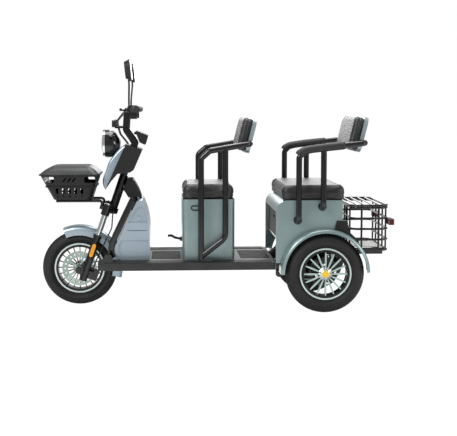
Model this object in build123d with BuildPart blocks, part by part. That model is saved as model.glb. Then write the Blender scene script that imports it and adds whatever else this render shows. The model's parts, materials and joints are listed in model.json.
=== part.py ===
# Electric tricycle scooter with a rider's seat and a bench behind it, as separate pieces.
# Millimetres. +Z is up, the front points to -X and the rider's left to -Y.
# The origin lies on the ground, under the middle of the whole vehicle.
from build123d import *
import os
from math import cos, radians, sin, sqrt

os.makedirs("parts", exist_ok=True)

# ---------------------------------------------------------------- driving dimensions
# Stance
WHEELBASE = 1350
FRONT_AXLE_X = -766
TRACK = 600
# Wheels: tyres on ten inch rims
FRONT_TYRE_RADIUS = 210
FRONT_TYRE_WIDTH = 80
REAR_TYRE_RADIUS = 215
REAR_TYRE_WIDTH = 90
RIM_LIP_RADIUS = 141
RIM_SEAT_RADIUS = 127
RIM_INNER_RADIUS = 119
FRONT_HUB_RADIUS = 34
REAR_HUB_RADIUS = 37
FRONT_AXLE_RADIUS = 8
REAR_AXLE_RADIUS = 14
RIM_LIP_WIDTH = 4
TYRE_BEAD_SHARE = 0.31
FRONT_HUB_HALF = 38
FRONT_SPOKES = 20
FRONT_SPOKE_WIDTH = 5
REAR_SPOKES = 16
REAR_SPOKE_HALF = 5
REAR_SPOKE_THICK = 10
REAR_SPOKE_OUT = 22
REAR_HUB_IN = 40
REAR_CAP_RADIUS = 20
REAR_CAP_RISE = 12
DISC_ARMS = 5
DISC_HOLES = 20
DISC_RADIUS = 97
DISC_INNER_RADIUS = 64
DISC_THICK = 4
# Steering
RAKE = 19
STEER_X = -545
STEER_Z = 640
FORK_AHEAD = 30
FORK_HALF_SPREAD = 85
STANCHION_RADIUS = 15
SLIDER_RADIUS = 21
HEAD_TUBE_RADIUS = 24
HEAD_TUBE_LENGTH = 186
STEERER_RADIUS = 17
CROWN_THICK = 30
CLAMP_WALL = 9
CLAMP_DROP = 18
CLAMP_RISE = 14
STEERER_TOP = 262
SLIDER_TOP = -259
SLIDER_BOTTOM = -529
AXLE_HALF = 104
LUG_HALF = 16
FENDER_LUG_ALONG = -276
REFLECTOR_ALONG = -348
REFLECTOR_LENGTH = 76
REFLECTOR_WIDTH = 21
CALIPER_OFFSET = Vector(70, 0, -30)
DISC_CLEAR = 5
CALIPER_WIDTH = 34
CALIPER_RIM = 26
CALIPER_WALL = 10
CALIPER_REACH = 60
CALIPER_HEIGHT = 62
DISC_SLOT = 90
CALIPER_EAR = (22, 48, 36)
CALIPER_EAR_DROP = 5
CALIPER_EAR_IN = 14
FENDER_FRONT_ANGLE = 22
FENDER_REAR_ANGLE = 103
FENDER_SKIRT = 54
FENDER_SKIN = 3
FENDER_ROUND = 26
FENDER_RADIUS = 242
FENDER_HALF = 52
HANDLEBAR_RADIUS = 11.1
HANDLEBAR_HALF = 335
HANDLEBAR_X = -493
HANDLEBAR_Z = 1103
GRIP_LENGTH = 118
GRIP_RADIUS = 17
GRIP_CAP = 4
GRIP_COLLAR = 6
GRIP_COLLAR_WALL = 4
SWITCH_DEPTH = 50
SWITCH_HEIGHT = 46
SWITCH_ROUND = 16
SWITCH_POD_AHEAD = 6
SWITCH_POD_DROP = 34
SWITCH_POD = (40, 34)
SWITCH_POD_SIDE = 4
LEVER_PERCH = (-34, 0, -2)
LEVER_KNEE_X = -52
LEVER_KNEE_Y = 34
LEVER_KNEE_DROP = 4
LEVER_TIP_X = -56
LEVER_BEND = 16
FAIRING_HALF = 92
GLOVE_BOX_HALF = 110
HEADLIGHT_RADIUS = 78
HEADLIGHT_Z = 911
BAR_DIP = 14
BAR_SWEEP = 63
BAR_BEND_Y = 130
CLAMP_HALF = 22
STEM_KNEE_X = -499
STEM_KNEE_Z = 990
HOUSING_LENGTH = 42
LEVER_LENGTH = 130
LEVER_RADIUS = 5
LEVER_BALL = 8
CABLE_RADIUS = 3.5
MIRROR_X = -462
MIRROR_Y = 280
MIRROR_Z = 1314
MIRROR_WIDTH = 138
MIRROR_HEIGHT = 112
MIRROR_CORNER = 40
MIRROR_DEPTH = 30
MIRROR_TAPER = 22
MIRROR_TILT = 6
MIRROR_STALK_RADIUS = 5
DISPLAY_HALF = 62
SIGNAL_X = -560
SIGNAL_Y = 120
SIGNAL_Z = 1025
SIGNAL_ARM_X = -500
SIGNAL_ARM_Y = 25.6
SIGNAL_ARM_DROP = 21
SIGNAL_ARM_BACK = 22
SIGNAL_ARM_IN = 20
SIGNAL_ARM_RADIUS = 5
SIGNAL_ARM_BEND = 8
SIGNAL_WIDTH = 50
SIGNAL_HEIGHT = 38
SIGNAL_ROUND = 12
SIGNAL_DEPTH = 24
SIGNAL_ARM_START = 6
DISPLAY_ROUND = 6
DISPLAY_STALK_RADIUS = 8
HEADLIGHT_X = -616
# Deck
DECK_TOP = 279
DECK_SKIRT = 43
DECK_HALF = 298
DECK_FRONT_X = -648
DECK_REAR_X = 317
WHEEL_WELL_HALF = 150
WHEEL_WELL_X = -500
LEG_SHIELD_HALF = 175
POCKET_DEPTH = 8
SHIELD_WALL = 24
SHIELD_FRONT_X = -525
TUNNEL_X = -440
TUNNEL_Z = 390
TUNNEL_LENGTH = 106
TUNNEL_HEIGHT = 256
TUNNEL_WALL = 34
NECK_SLOT_X = -452
NECK_SLOT_Z = 580
NECK_SLOT = (80, 64, 240)
WELL_CUT_BACK = 10
WELL_CUT = (200, 600)
POCKET_BOSS_RADIUS = 13
POCKET_RIB = (108, 5)
SHIELD_REAR_X = -368
NECK_HALF = 48
NECK_KNEE_X = -455
NECK_KNEE_Z = 600
NECK_JOIN_ALONG = 55
RIB_RISE = 3
RIB_WIDTH = 7
RIB_PITCH = 15
SIDE_RIBS = 6
FOOT_RIBS = 13
# Rider's seat
SEAT_BOX_FRONT_X = -188
SEAT_BOX_LENGTH = 288
SEAT_BOX_HALF = 200
SEAT_BOX_TOP = 612
CUSHION_THICK = 76
DRIVER_CUSHION_HALF = 213
DRIVER_ARM_Y = 250
PEDAL_Y = 120
PEDAL_Z = 352
PEDAL_BOSS_RADIUS = 13
PEDAL_BOSS_LENGTH = 8
PEDAL_START = 6
PEDAL_RADIUS = 7
PEDAL_BEND = 10
PEDAL_RUN = ((40, 8), (60, 20), (80, 18))
DRIVER_ARM_X = -87
DRIVER_ARM_KNEE_Z = 838
DRIVER_ARM_BEND = 30
DRIVER_POST_X = 45
DRIVER_POST_TOP = 893
DRIVER_POST_KNEE_Z = 405
DRIVER_POST_BEND = 60
DRIVER_FOOT = (90, 50, 6)
DRIVER_FOOT_X = -70
# Rear body and bench
BODY_FRONT_X = 318
BODY_LENGTH = 365
BODY_HALF = 285
BODY_BOTTOM = 270
BODY_TOP = 612
BODY_CORNER = 62
REAR_CUSHION_HALF = 299
REAR_CUSHION_FRONT_X = 340
REAR_CUSHION_LENGTH = 365
REAR_ARM_Y = 330
REAR_ARM_X = 436
REAR_ARM_SEAT_Z = 505
REAR_ARM_KNEE_Z = 850
REAR_ARM_BEND = 25
REAR_POST_X = 569
REAR_POST_SEAT_Z = 579
REAR_POST_TOP = 894
ARM_COLLAR_WALL = 7
ARM_COLLAR_LENGTH = 12
FENDER_GAP = 9
FENDER_BAND = 20
REAR_FENDER_OUT = 350
# Backrests
BACK_HEIGHT = 197
BACK_THICK = 68
BACK_SHELL_THICK = 22
BACK_TILT = 14
DRIVER_BACK_HALF = 200
REAR_BACK_HALF = 212
# Tubes and skins
ARM_RADIUS = 16
RAIL_RADIUS = 14
RAIL_HALF_SPREAD = 150
DOWN_TUBE_RADIUS = 20
UPRIGHT_X = 600
PIVOT_X = 349
PIVOT_Z = 195
PIVOT_RADIUS = 7
SKIN = 4
HATCH_BOTTOM = 395
FENDER_ARC = 178
# Cage behind the bench
CAGE_FRONT_X = 737
CAGE_LENGTH = 213
CAGE_HALF = 240
CAGE_BOTTOM = 330
CAGE_TOP = 564
CAGE_BAR = 6
# Basket at the front
BASKET_FRONT_X = -971
BASKET_LENGTH = 325
BASKET_HALF = 150
BASKET_BOTTOM = 604
BASKET_WAIST = 681
BASKET_RIM = 747
BASKET_SKIN = 3
BASKET_FLOOR_FRONT_X = -899
BASKET_FLOOR_REAR_X = -691
BASKET_FLOOR_HALF = 112
BASKET_CORNER = 34
BASKET_PITCH = 34
BASKET_TUBE = 8
LID_RISE = 44
# Clearances
SEATED = 0.3
RUNNING = 0.1
MOVING = 6

# ---------------------------------------------------------------- derived places
REAR_AXLE_X = FRONT_AXLE_X + WHEELBASE
REAR_WHEEL_Y = TRACK / 2
SEAT_BOX_REAR_X = SEAT_BOX_FRONT_X + SEAT_BOX_LENGTH
SEAT_BOX_X = (SEAT_BOX_FRONT_X + SEAT_BOX_REAR_X) / 2
BODY_REAR_X = BODY_FRONT_X + BODY_LENGTH
BASKET_REAR_X = BASKET_FRONT_X + BASKET_LENGTH
BASKET_X = (BASKET_FRONT_X + BASKET_REAR_X) / 2
CAGE_REAR_X = CAGE_FRONT_X + CAGE_LENGTH
DECK_PLATE = DECK_TOP - RIB_RISE
DECK_UNDER = DECK_PLATE - SKIN
DECK_EDGE = DECK_TOP - DECK_SKIRT
RAIL_Z = DECK_UNDER - SEATED - RAIL_RADIUS
ARCH_INNER = REAR_TYRE_RADIUS + FENDER_GAP
ARCH_OUTER = ARCH_INNER + FENDER_BAND
REAR_FENDER_IN = REAR_WHEEL_Y - REAR_TYRE_WIDTH / 2 - 2 * MOVING
ALONG = Vector(sin(radians(RAKE)), 0, cos(radians(RAKE)))
AHEAD = Vector(-cos(radians(RAKE)), 0, sin(radians(RAKE)))
STEER_POINT = Vector(STEER_X, 0, STEER_Z)
FRONT_AXLE = Vector(FRONT_AXLE_X, 0, FRONT_TYRE_RADIUS)
AXLE_ALONG = (FRONT_AXLE - STEER_POINT).dot(ALONG)
HEAD_TOP = HEAD_TUBE_LENGTH / 2
HEAD_BOTTOM = -HEAD_TUBE_LENGTH / 2
CROWN_TOP = HEAD_BOTTOM - 1
CROWN_BOTTOM = CROWN_TOP - CROWN_THICK
SIDES = (-1, 1)


def on_steering(along, ahead, side=0):
    """A point by its place along the steering axis, ahead of it and to its side."""
    return STEER_POINT + ALONG * along + AHEAD * ahead + Vector(0, side, 0)


def steering_plane(along, ahead=0, side=0):
    """A plane square to the steering axis, with its X pointing ahead."""
    return Plane(on_steering(along, ahead, side), x_dir=AHEAD, z_dir=ALONG)


def side_plane(y=0):
    """An upright plane along the vehicle, seen from its left, at a distance to the side."""
    return Plane((0, y, 0), x_dir=(1, 0, 0), z_dir=(0, -1, 0))


def wheel_plane(axle):
    """An upright plane through an axle that holds it, for outlines turned about it."""
    return Plane(axle, x_dir=(0, 1, 0), z_dir=(1, 0, 0))


def bar(points, radius, bend=0):
    """Adds a round bar that runs straight between points and turns at each on an arc."""
    with BuildLine() as route:
        if bend:
            FilletPolyline(*points, radius=bend)
        else:
            Polyline(*points)
    path = route.wires()[0]
    with BuildSketch(Plane(path @ 0, z_dir=path % 0)) as section:
        Circle(radius)
    sweep(sections=section.sketch, path=path)


def hoop(plane, length, width, corner, radius):
    """Adds a closed loop of round bar that follows a rounded rectangle on a plane."""
    with BuildSketch(plane) as outline:
        RectangleRounded(length, width, corner)
    path = outline.sketch.face().outer_wire()
    with BuildSketch(Plane(path @ 0, z_dir=path % 0)) as section:
        Circle(radius)
    sweep(sections=section.sketch, path=path)


def drum(start, direction, radius, length, bore=0, mode=Mode.ADD):
    """Adds or cuts a round drum, or a sleeve where it has a bore, that grows from its start."""
    with BuildSketch(Plane(start, z_dir=direction)) as section:
        Circle(radius)
        if bore:
            Circle(bore, mode=Mode.SUBTRACT)
    extrude(to_extrude=section.sketch, amount=length, mode=mode)


def save(piece, name):
    """Labels a finished piece and writes it."""
    piece.part.label = name
    export_step(piece.part, f"parts/{name}.step")


# ---------------------------------------------------------------- wheels
def add_tyre(axle, radius, width):
    """Adds a tyre, its round-shouldered cut turned about the axle."""
    bead = width * TYRE_BEAD_SHARE
    edge = width * 0.45
    shoulder = radius - width * 0.33
    lip = RIM_LIP_RADIUS + 2 * RIM_LIP_WIDTH
    bulge = (lip + shoulder) / 2
    seat = RIM_SEAT_RADIUS + SEATED
    with BuildSketch(wheel_plane(axle)) as cut:
        with BuildLine():
            Polyline((-bead, lip), (-bead, seat), (bead, seat), (bead, lip))
            ThreePointArc((bead, lip), (width / 2, bulge), (edge, shoulder))
            ThreePointArc((edge, shoulder), (0, radius), (-edge, shoulder))
            ThreePointArc((-edge, shoulder), (-width / 2, bulge), (-bead, lip))
        make_face()
    revolve(profiles=cut.sketch, axis=Axis(axle, (0, 1, 0)))


def add_rim(axle, tyre_width):
    """Adds a rim's barrel with its two lips, its cut turned about the axle."""
    seat = tyre_width * TYRE_BEAD_SHARE + SEATED
    edge = seat + RIM_LIP_WIDTH
    with BuildSketch(wheel_plane(axle)) as cut:
        with BuildLine():
            Polyline((-seat, RIM_LIP_RADIUS), (-seat, RIM_SEAT_RADIUS), (seat, RIM_SEAT_RADIUS),
                     (seat, RIM_LIP_RADIUS), (edge, RIM_LIP_RADIUS), (edge, RIM_INNER_RADIUS),
                     (-edge, RIM_INNER_RADIUS), (-edge, RIM_LIP_RADIUS), close=True)
        make_face()
    revolve(profiles=cut.sketch, axis=Axis(axle, (0, 1, 0)))


with BuildPart() as front_tyre:
    add_tyre(FRONT_AXLE, FRONT_TYRE_RADIUS, FRONT_TYRE_WIDTH)
save(front_tyre, "front_tyre")

with BuildPart() as front_rim:
    add_rim(FRONT_AXLE, FRONT_TYRE_WIDTH)
    drum(FRONT_AXLE - (0, FRONT_HUB_HALF, 0), (0, 1, 0), FRONT_HUB_RADIUS, 2 * FRONT_HUB_HALF)
    with BuildSketch(side_plane()) as spokes:
        with Locations((FRONT_AXLE_X, FRONT_TYRE_RADIUS)):
            with PolarLocations((FRONT_HUB_RADIUS + RIM_INNER_RADIUS) / 2, FRONT_SPOKES):
                Rectangle(RIM_INNER_RADIUS - FRONT_HUB_RADIUS + 8, FRONT_SPOKE_WIDTH)
    extrude(to_extrude=spokes.sketch, amount=FRONT_SPOKE_WIDTH, both=True)
    drum(FRONT_AXLE - (0, FRONT_HUB_HALF, 0), (0, 1, 0), FRONT_AXLE_RADIUS + RUNNING,
         2 * FRONT_HUB_HALF, mode=Mode.SUBTRACT)
save(front_rim, "front_rim")

with BuildPart() as brake_disc:
    disc_start = FRONT_AXLE - (0, FRONT_HUB_HALF + SEATED, 0)
    drum(disc_start, (0, -1, 0), DISC_RADIUS, DISC_THICK, DISC_INNER_RADIUS)
    drum(disc_start, (0, -1, 0), FRONT_HUB_RADIUS - 4, DISC_THICK, FRONT_AXLE_RADIUS + RUNNING)
    with BuildSketch(side_plane(-FRONT_HUB_HALF - SEATED)) as disc_arms:
        with Locations((FRONT_AXLE_X, FRONT_TYRE_RADIUS)):
            with PolarLocations((FRONT_HUB_RADIUS + DISC_INNER_RADIUS) / 2, DISC_ARMS):
                Rectangle(DISC_INNER_RADIUS - FRONT_HUB_RADIUS + 16, 12)
            with PolarLocations((DISC_RADIUS + DISC_INNER_RADIUS) / 2, DISC_HOLES):
                Circle(5, mode=Mode.SUBTRACT)
    extrude(to_extrude=disc_arms.sketch, amount=DISC_THICK)
    with BuildSketch(side_plane(-FRONT_HUB_HALF)) as disc_holes:
        with Locations((FRONT_AXLE_X, FRONT_TYRE_RADIUS)):
            with PolarLocations((DISC_RADIUS + DISC_INNER_RADIUS) / 2, DISC_HOLES):
                Circle(5)
    extrude(to_extrude=disc_holes.sketch, amount=2 * DISC_THICK, mode=Mode.SUBTRACT)
save(brake_disc, "brake_disc")

for side, hand in ((-1, "left"), (1, "right")):
    rear_axle_end = Vector(REAR_AXLE_X, side * REAR_WHEEL_Y, REAR_TYRE_RADIUS)
    with BuildPart() as rear_tyre:
        add_tyre(rear_axle_end, REAR_TYRE_RADIUS, REAR_TYRE_WIDTH)
    save(rear_tyre, f"rear_tyre_{hand}")

    with BuildPart() as rear_rim:
        add_rim(rear_axle_end, REAR_TYRE_WIDTH)
        hub_in = rear_axle_end - (0, side * REAR_HUB_IN, 0)
        hub_out = rear_axle_end + (0, side * REAR_SPOKE_OUT, 0)
        drum(hub_in, (0, side, 0), REAR_HUB_RADIUS, REAR_HUB_IN + REAR_SPOKE_OUT)
        with BuildSketch(side_plane(side * (REAR_WHEEL_Y + REAR_SPOKE_OUT))) as spokes:
            with Locations((REAR_AXLE_X, REAR_TYRE_RADIUS)):
                with PolarLocations((REAR_HUB_RADIUS + RIM_INNER_RADIUS) / 2, REAR_SPOKES):
                    Ellipse((RIM_INNER_RADIUS - REAR_HUB_RADIUS) / 2 + 5, REAR_SPOKE_HALF)
        extrude(to_extrude=spokes.sketch, amount=-side * REAR_SPOKE_THICK)
        with Locations(Plane(hub_out, z_dir=(0, side, 0))):
            Cone(REAR_HUB_RADIUS, REAR_CAP_RADIUS, REAR_CAP_RISE,
                 align=(Align.CENTER, Align.CENTER, Align.MIN))
        drum(hub_in, (0, side, 0), REAR_AXLE_RADIUS + RUNNING, REAR_HUB_IN, mode=Mode.SUBTRACT)
    save(rear_rim, f"rear_rim_{hand}")

# ---------------------------------------------------------------- front fork
with BuildPart() as front_axle:
    drum(FRONT_AXLE - (0, AXLE_HALF, 0), (0, 1, 0), FRONT_AXLE_RADIUS, 2 * AXLE_HALF)
    for side in SIDES:
        drum(FRONT_AXLE + (0, side * AXLE_HALF, 0), (0, side, 0), FRONT_AXLE_RADIUS + 5, 9)
save(front_axle, "front_axle")

with BuildPart() as fork_crown:
    with BuildSketch(steering_plane(CROWN_BOTTOM)) as crown_plate:
        with Locations((0, 0)):
            Circle(HEAD_TUBE_RADIUS + 8)
        with Locations((FORK_AHEAD, FORK_HALF_SPREAD), (FORK_AHEAD, -FORK_HALF_SPREAD)):
            Circle(STANCHION_RADIUS + CLAMP_WALL)
        make_hull()
    extrude(to_extrude=crown_plate.sketch, amount=CROWN_THICK)
    drum(on_steering(CROWN_TOP, 0), ALONG, STEERER_RADIUS, STEERER_TOP - CROWN_TOP)
    for side in SIDES:
        clamp_foot = on_steering(CROWN_BOTTOM - CLAMP_DROP, FORK_AHEAD, side * FORK_HALF_SPREAD)
        clamp_length = CLAMP_DROP + CROWN_THICK + CLAMP_RISE
        drum(clamp_foot, ALONG, STANCHION_RADIUS + CLAMP_WALL, clamp_length)
        drum(clamp_foot, ALONG, STANCHION_RADIUS + RUNNING, clamp_length, mode=Mode.SUBTRACT)
save(fork_crown, "fork_crown")

with BuildPart() as fork_stanchions:
    for side in SIDES:
        drum(on_steering(SLIDER_TOP + SEATED, FORK_AHEAD, side * FORK_HALF_SPREAD), ALONG,
             STANCHION_RADIUS, CROWN_TOP + CLAMP_RISE - SLIDER_TOP + 4)
save(fork_stanchions, "fork_stanchions")

with BuildPart() as fork_sliders:
    for side in SIDES:
        leg_y = side * FORK_HALF_SPREAD
        drum(on_steering(SLIDER_BOTTOM, FORK_AHEAD, leg_y), ALONG, SLIDER_RADIUS,
             SLIDER_TOP - SLIDER_BOTTOM)
        drum(on_steering(SLIDER_TOP - 16, FORK_AHEAD, leg_y), ALONG, SLIDER_RADIUS + 3, 16)
        lug_foot = on_steering(AXLE_ALONG, FORK_AHEAD)
        with BuildSketch(side_plane(leg_y + LUG_HALF)) as lug:
            with Locations((FRONT_AXLE_X, FRONT_TYRE_RADIUS)):
                Circle(FRONT_AXLE_RADIUS + 11)
            with Locations((lug_foot.X, lug_foot.Z)):
                Circle(SLIDER_RADIUS - 4)
            make_hull()
        extrude(to_extrude=lug.sketch, amount=2 * LUG_HALF)
        drum(FRONT_AXLE, (0, side, 0), FRONT_AXLE_RADIUS + RUNNING, AXLE_HALF + 9,
             mode=Mode.SUBTRACT)
        drum(on_steering(FENDER_LUG_ALONG, FORK_AHEAD, side * (FENDER_HALF + SEATED)),
             (0, side, 0), 7, FORK_HALF_SPREAD - FENDER_HALF)
save(fork_sliders, "fork_sliders")

with BuildPart() as fork_reflectors:
    for side in SIDES:
        face_y = side * (FORK_HALF_SPREAD + SLIDER_RADIUS + SEATED)
        pill_plane = Plane(on_steering(REFLECTOR_ALONG, FORK_AHEAD, face_y), x_dir=ALONG,
                           z_dir=(0, side, 0))
        with BuildSketch(pill_plane) as pill:
            SlotOverall(REFLECTOR_LENGTH, REFLECTOR_WIDTH)
        extrude(to_extrude=pill.sketch, amount=6)
save(fork_reflectors, "fork_reflectors")

with BuildPart() as brake_caliper:
    caliper_spot = FRONT_AXLE + CALIPER_OFFSET - (0, FRONT_HUB_HALF + DISC_THICK / 2, 0)
    with Locations(Plane(caliper_spot, x_dir=CALIPER_OFFSET, z_dir=(0, -1, 0))):
        with Locations((CALIPER_RIM + CALIPER_WALL, 0, 0)):
            Box(CALIPER_REACH, CALIPER_HEIGHT, CALIPER_WIDTH, align=(Align.MAX, Align.CENTER, Align.CENTER))
        with Locations((CALIPER_RIM, 0, 0)):
            Box(DISC_SLOT, DISC_SLOT, DISC_THICK + 2 * DISC_CLEAR,
                align=(Align.MAX, Align.CENTER, Align.CENTER), mode=Mode.SUBTRACT)
    ear_spot = on_steering(AXLE_ALONG - CALIPER_EAR_DROP, FORK_AHEAD - SLIDER_RADIUS - SEATED)
    ear_y = FRONT_HUB_HALF + DISC_THICK / 2 + CALIPER_WIDTH / 2
    with Locations(Plane(ear_spot - (0, ear_y + CALIPER_EAR_IN, 0), x_dir=AHEAD, z_dir=ALONG)):
        Box(*CALIPER_EAR, align=(Align.MAX, Align.CENTER, Align.CENTER))
save(brake_caliper, "brake_caliper")

with BuildPart() as front_fender:
    lean = radians(FENDER_FRONT_ANGLE)
    fender_plane = Plane(FRONT_AXLE, x_dir=(0, 1, 0), z_dir=(cos(lean), 0, sin(lean)))
    with BuildSketch(fender_plane) as fender_cut:
        with Locations((0, FENDER_RADIUS)):
            Rectangle(2 * FENDER_HALF, 2 * FENDER_SKIRT, align=(Align.CENTER, Align.MAX))
        fillet(fender_cut.vertices().group_by(Axis.Z)[-1], FENDER_ROUND)
        with Locations((0, FENDER_RADIUS - FENDER_SKIN)):
            RectangleRounded(2 * (FENDER_HALF - FENDER_SKIN), 4 * FENDER_SKIRT,
                             FENDER_ROUND - FENDER_SKIN, align=(Align.CENTER, Align.MAX),
                             mode=Mode.SUBTRACT)
        with Locations((0, FENDER_RADIUS - FENDER_SKIRT)):
            Rectangle(4 * FENDER_HALF, 2 * FENDER_SKIRT, align=(Align.CENTER, Align.MAX),
                      mode=Mode.SUBTRACT)
    revolve(profiles=fender_cut.sketch, axis=Axis(FRONT_AXLE, (0, 1, 0)),
            revolution_arc=FENDER_FRONT_ANGLE + FENDER_REAR_ANGLE)
save(front_fender, "front_fender")

# ---------------------------------------------------------------- handlebar and what it holds
with BuildPart() as handlebar_stem:
    drum(on_steering(HEAD_TOP + 1, 0), ALONG, HEAD_TUBE_RADIUS, 6, STEERER_RADIUS + RUNNING)
    stem_foot = on_steering(STEERER_TOP + SEATED, 0)
    stem_head = Vector(HANDLEBAR_X, 0, HANDLEBAR_Z - BAR_DIP)
    stem_knee = Vector(STEM_KNEE_X, 0, STEM_KNEE_Z)
    with BuildLine() as stem_route:
        FilletPolyline(stem_foot, stem_foot + ALONG * 30, stem_knee, stem_head, radius=14)
    stem_path = stem_route.wires()[0]
    with BuildSketch(Plane(stem_path @ 0, x_dir=AHEAD, z_dir=stem_path % 0)) as stem_section:
        RectangleRounded(40, 46, 10)
    sweep(sections=stem_section.sketch, path=stem_path)
    drum(stem_head - (0, CLAMP_HALF, 0), (0, 1, 0), HANDLEBAR_RADIUS + 9, 2 * CLAMP_HALF)
    drum(stem_head - (0, 2 * CLAMP_HALF, 0), (0, 1, 0), HANDLEBAR_RADIUS + RUNNING, 4 * CLAMP_HALF,
         mode=Mode.SUBTRACT)
save(handlebar_stem, "handlebar_stem")

BAR_POINTS = [
    Vector(HANDLEBAR_X + BAR_SWEEP, -HANDLEBAR_HALF, HANDLEBAR_Z),
    Vector(HANDLEBAR_X + BAR_SWEEP / 3, -BAR_BEND_Y, HANDLEBAR_Z),
    Vector(HANDLEBAR_X, -CLAMP_HALF - 18, HANDLEBAR_Z - BAR_DIP),
    Vector(HANDLEBAR_X, CLAMP_HALF + 18, HANDLEBAR_Z - BAR_DIP),
    Vector(HANDLEBAR_X + BAR_SWEEP / 3, BAR_BEND_Y, HANDLEBAR_Z),
    Vector(HANDLEBAR_X + BAR_SWEEP, HANDLEBAR_HALF, HANDLEBAR_Z),
]
with BuildPart() as handlebar:
    bar(BAR_POINTS, HANDLEBAR_RADIUS, 40)
save(handlebar, "handlebar")


def bar_end(side):
    """The end of the handlebar on a side, and the way from there back along its straight."""
    end = BAR_POINTS[0] if side < 0 else BAR_POINTS[-1]
    knee = BAR_POINTS[1] if side < 0 else BAR_POINTS[-2]
    return end, (knee - end).normalized()


with BuildPart() as grips:
    for side in SIDES:
        end, inward = bar_end(side)
        drum(end - inward * GRIP_CAP, inward, GRIP_RADIUS, GRIP_LENGTH + GRIP_CAP)
        drum(end + inward * (GRIP_LENGTH - GRIP_COLLAR), inward, GRIP_RADIUS + GRIP_COLLAR_WALL,
             GRIP_COLLAR)
        drum(end, inward, HANDLEBAR_RADIUS + SEATED, GRIP_LENGTH + 1, mode=Mode.SUBTRACT)
save(grips, "grips")

with BuildPart() as bar_controls:
    for side in SIDES:
        end, inward = bar_end(side)
        housing = end + inward * (GRIP_LENGTH + SEATED)
        housing_plane = Plane(housing, x_dir=(1, 0, 0), z_dir=inward)
        with BuildSketch(housing_plane) as switch_cut:
            RectangleRounded(SWITCH_DEPTH, SWITCH_HEIGHT, SWITCH_ROUND)
        extrude(to_extrude=switch_cut.sketch, amount=HOUSING_LENGTH)
        perch = housing + inward * (HOUSING_LENGTH / 2)
        lever_tip = perch + (LEVER_TIP_X, side * LEVER_LENGTH, 0)
        bar([perch, perch + LEVER_PERCH, perch + (LEVER_KNEE_X, side * LEVER_KNEE_Y, -LEVER_KNEE_DROP),
             lever_tip], LEVER_RADIUS, LEVER_BEND)
        with Locations(lever_tip):
            Sphere(LEVER_BALL)
        with Locations(perch + (SWITCH_POD_AHEAD, 0, -SWITCH_POD_DROP)):
            Box(SWITCH_POD[0], HOUSING_LENGTH - 2 * SWITCH_POD_SIDE, SWITCH_POD[1])
        drum(housing - inward, inward, HANDLEBAR_RADIUS + SEATED, HOUSING_LENGTH + 2,
             mode=Mode.SUBTRACT)
save(bar_controls, "bar_controls")

with BuildPart() as mirrors:
    for side in SIDES:
        end, inward = bar_end(side)
        base = end + inward * (GRIP_LENGTH + HOUSING_LENGTH + 14)
        drum(base - inward * 10, inward, HANDLEBAR_RADIUS + 8, 20)
        drum(base - inward * 10, inward, HANDLEBAR_RADIUS + SEATED, 20, mode=Mode.SUBTRACT)
        root = base + (-12, 0, HANDLEBAR_RADIUS + 4)
        head = Vector(MIRROR_X, side * MIRROR_Y, MIRROR_Z)
        bar([root, root + (0, 0, 34), head - (10, side * 24, 74), head - (12, 0, 40)],
            MIRROR_STALK_RADIUS, 20)
        mirror_plane = Plane(head, x_dir=(0, 1, 0), z_dir=(-cos(radians(MIRROR_TILT)), 0,
                                                           -sin(radians(MIRROR_TILT))))
        with BuildSketch(mirror_plane) as mirror_face:
            RectangleRounded(MIRROR_WIDTH, MIRROR_HEIGHT, MIRROR_CORNER)
        extrude(to_extrude=mirror_face.sketch, amount=MIRROR_DEPTH, taper=MIRROR_TAPER)
save(mirrors, "mirrors")

with BuildPart() as mirror_glass:
    for side in SIDES:
        head = Vector(MIRROR_X, side * MIRROR_Y, MIRROR_Z)
        back = Vector(cos(radians(MIRROR_TILT)), 0, sin(radians(MIRROR_TILT)))
        with BuildSketch(Plane(head + back * SEATED, x_dir=(0, 1, 0), z_dir=back)) as pane:
            RectangleRounded(MIRROR_WIDTH - 8, MIRROR_HEIGHT - 8, MIRROR_CORNER - 4)
        extrude(to_extrude=pane.sketch, amount=3)
save(mirror_glass, "mirror_glass")

with BuildPart() as display:
    with BuildSketch(side_plane()) as display_cut:
        with BuildLine():
            Polyline((-450, 988), (-375, 958), (-391, 904), (-424, 920), close=True)
        make_face()
        fillet(display_cut.vertices(), DISPLAY_ROUND)
    extrude(to_extrude=display_cut.sketch, amount=DISPLAY_HALF, both=True)
    bar([(STEM_KNEE_X + 44, 0, STEM_KNEE_Z - 18), (-440, 0, 968)], DISPLAY_STALK_RADIUS)
save(display, "display")

with BuildPart() as turn_signals:
    for side in SIDES:
        arm_z = SIGNAL_Z - SIGNAL_ARM_DROP
        bar([(SIGNAL_X + SIGNAL_ARM_START, side * SIGNAL_Y, arm_z),
             (SIGNAL_X + SIGNAL_ARM_BACK, side * (SIGNAL_Y - SIGNAL_ARM_IN), arm_z),
             (SIGNAL_ARM_X, side * SIGNAL_ARM_Y, arm_z)], SIGNAL_ARM_RADIUS, SIGNAL_ARM_BEND)
    for side in SIDES:
        with BuildSketch(Plane((SIGNAL_X - SIGNAL_DEPTH / 2, side * SIGNAL_Y, SIGNAL_Z), x_dir=(0, 1, 0),
                               z_dir=(1, 0, 0))) as lamp:
            RectangleRounded(SIGNAL_WIDTH, SIGNAL_HEIGHT, SIGNAL_ROUND)
        extrude(to_extrude=lamp.sketch, amount=SIGNAL_DEPTH)
save(turn_signals, "turn_signals")

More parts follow.
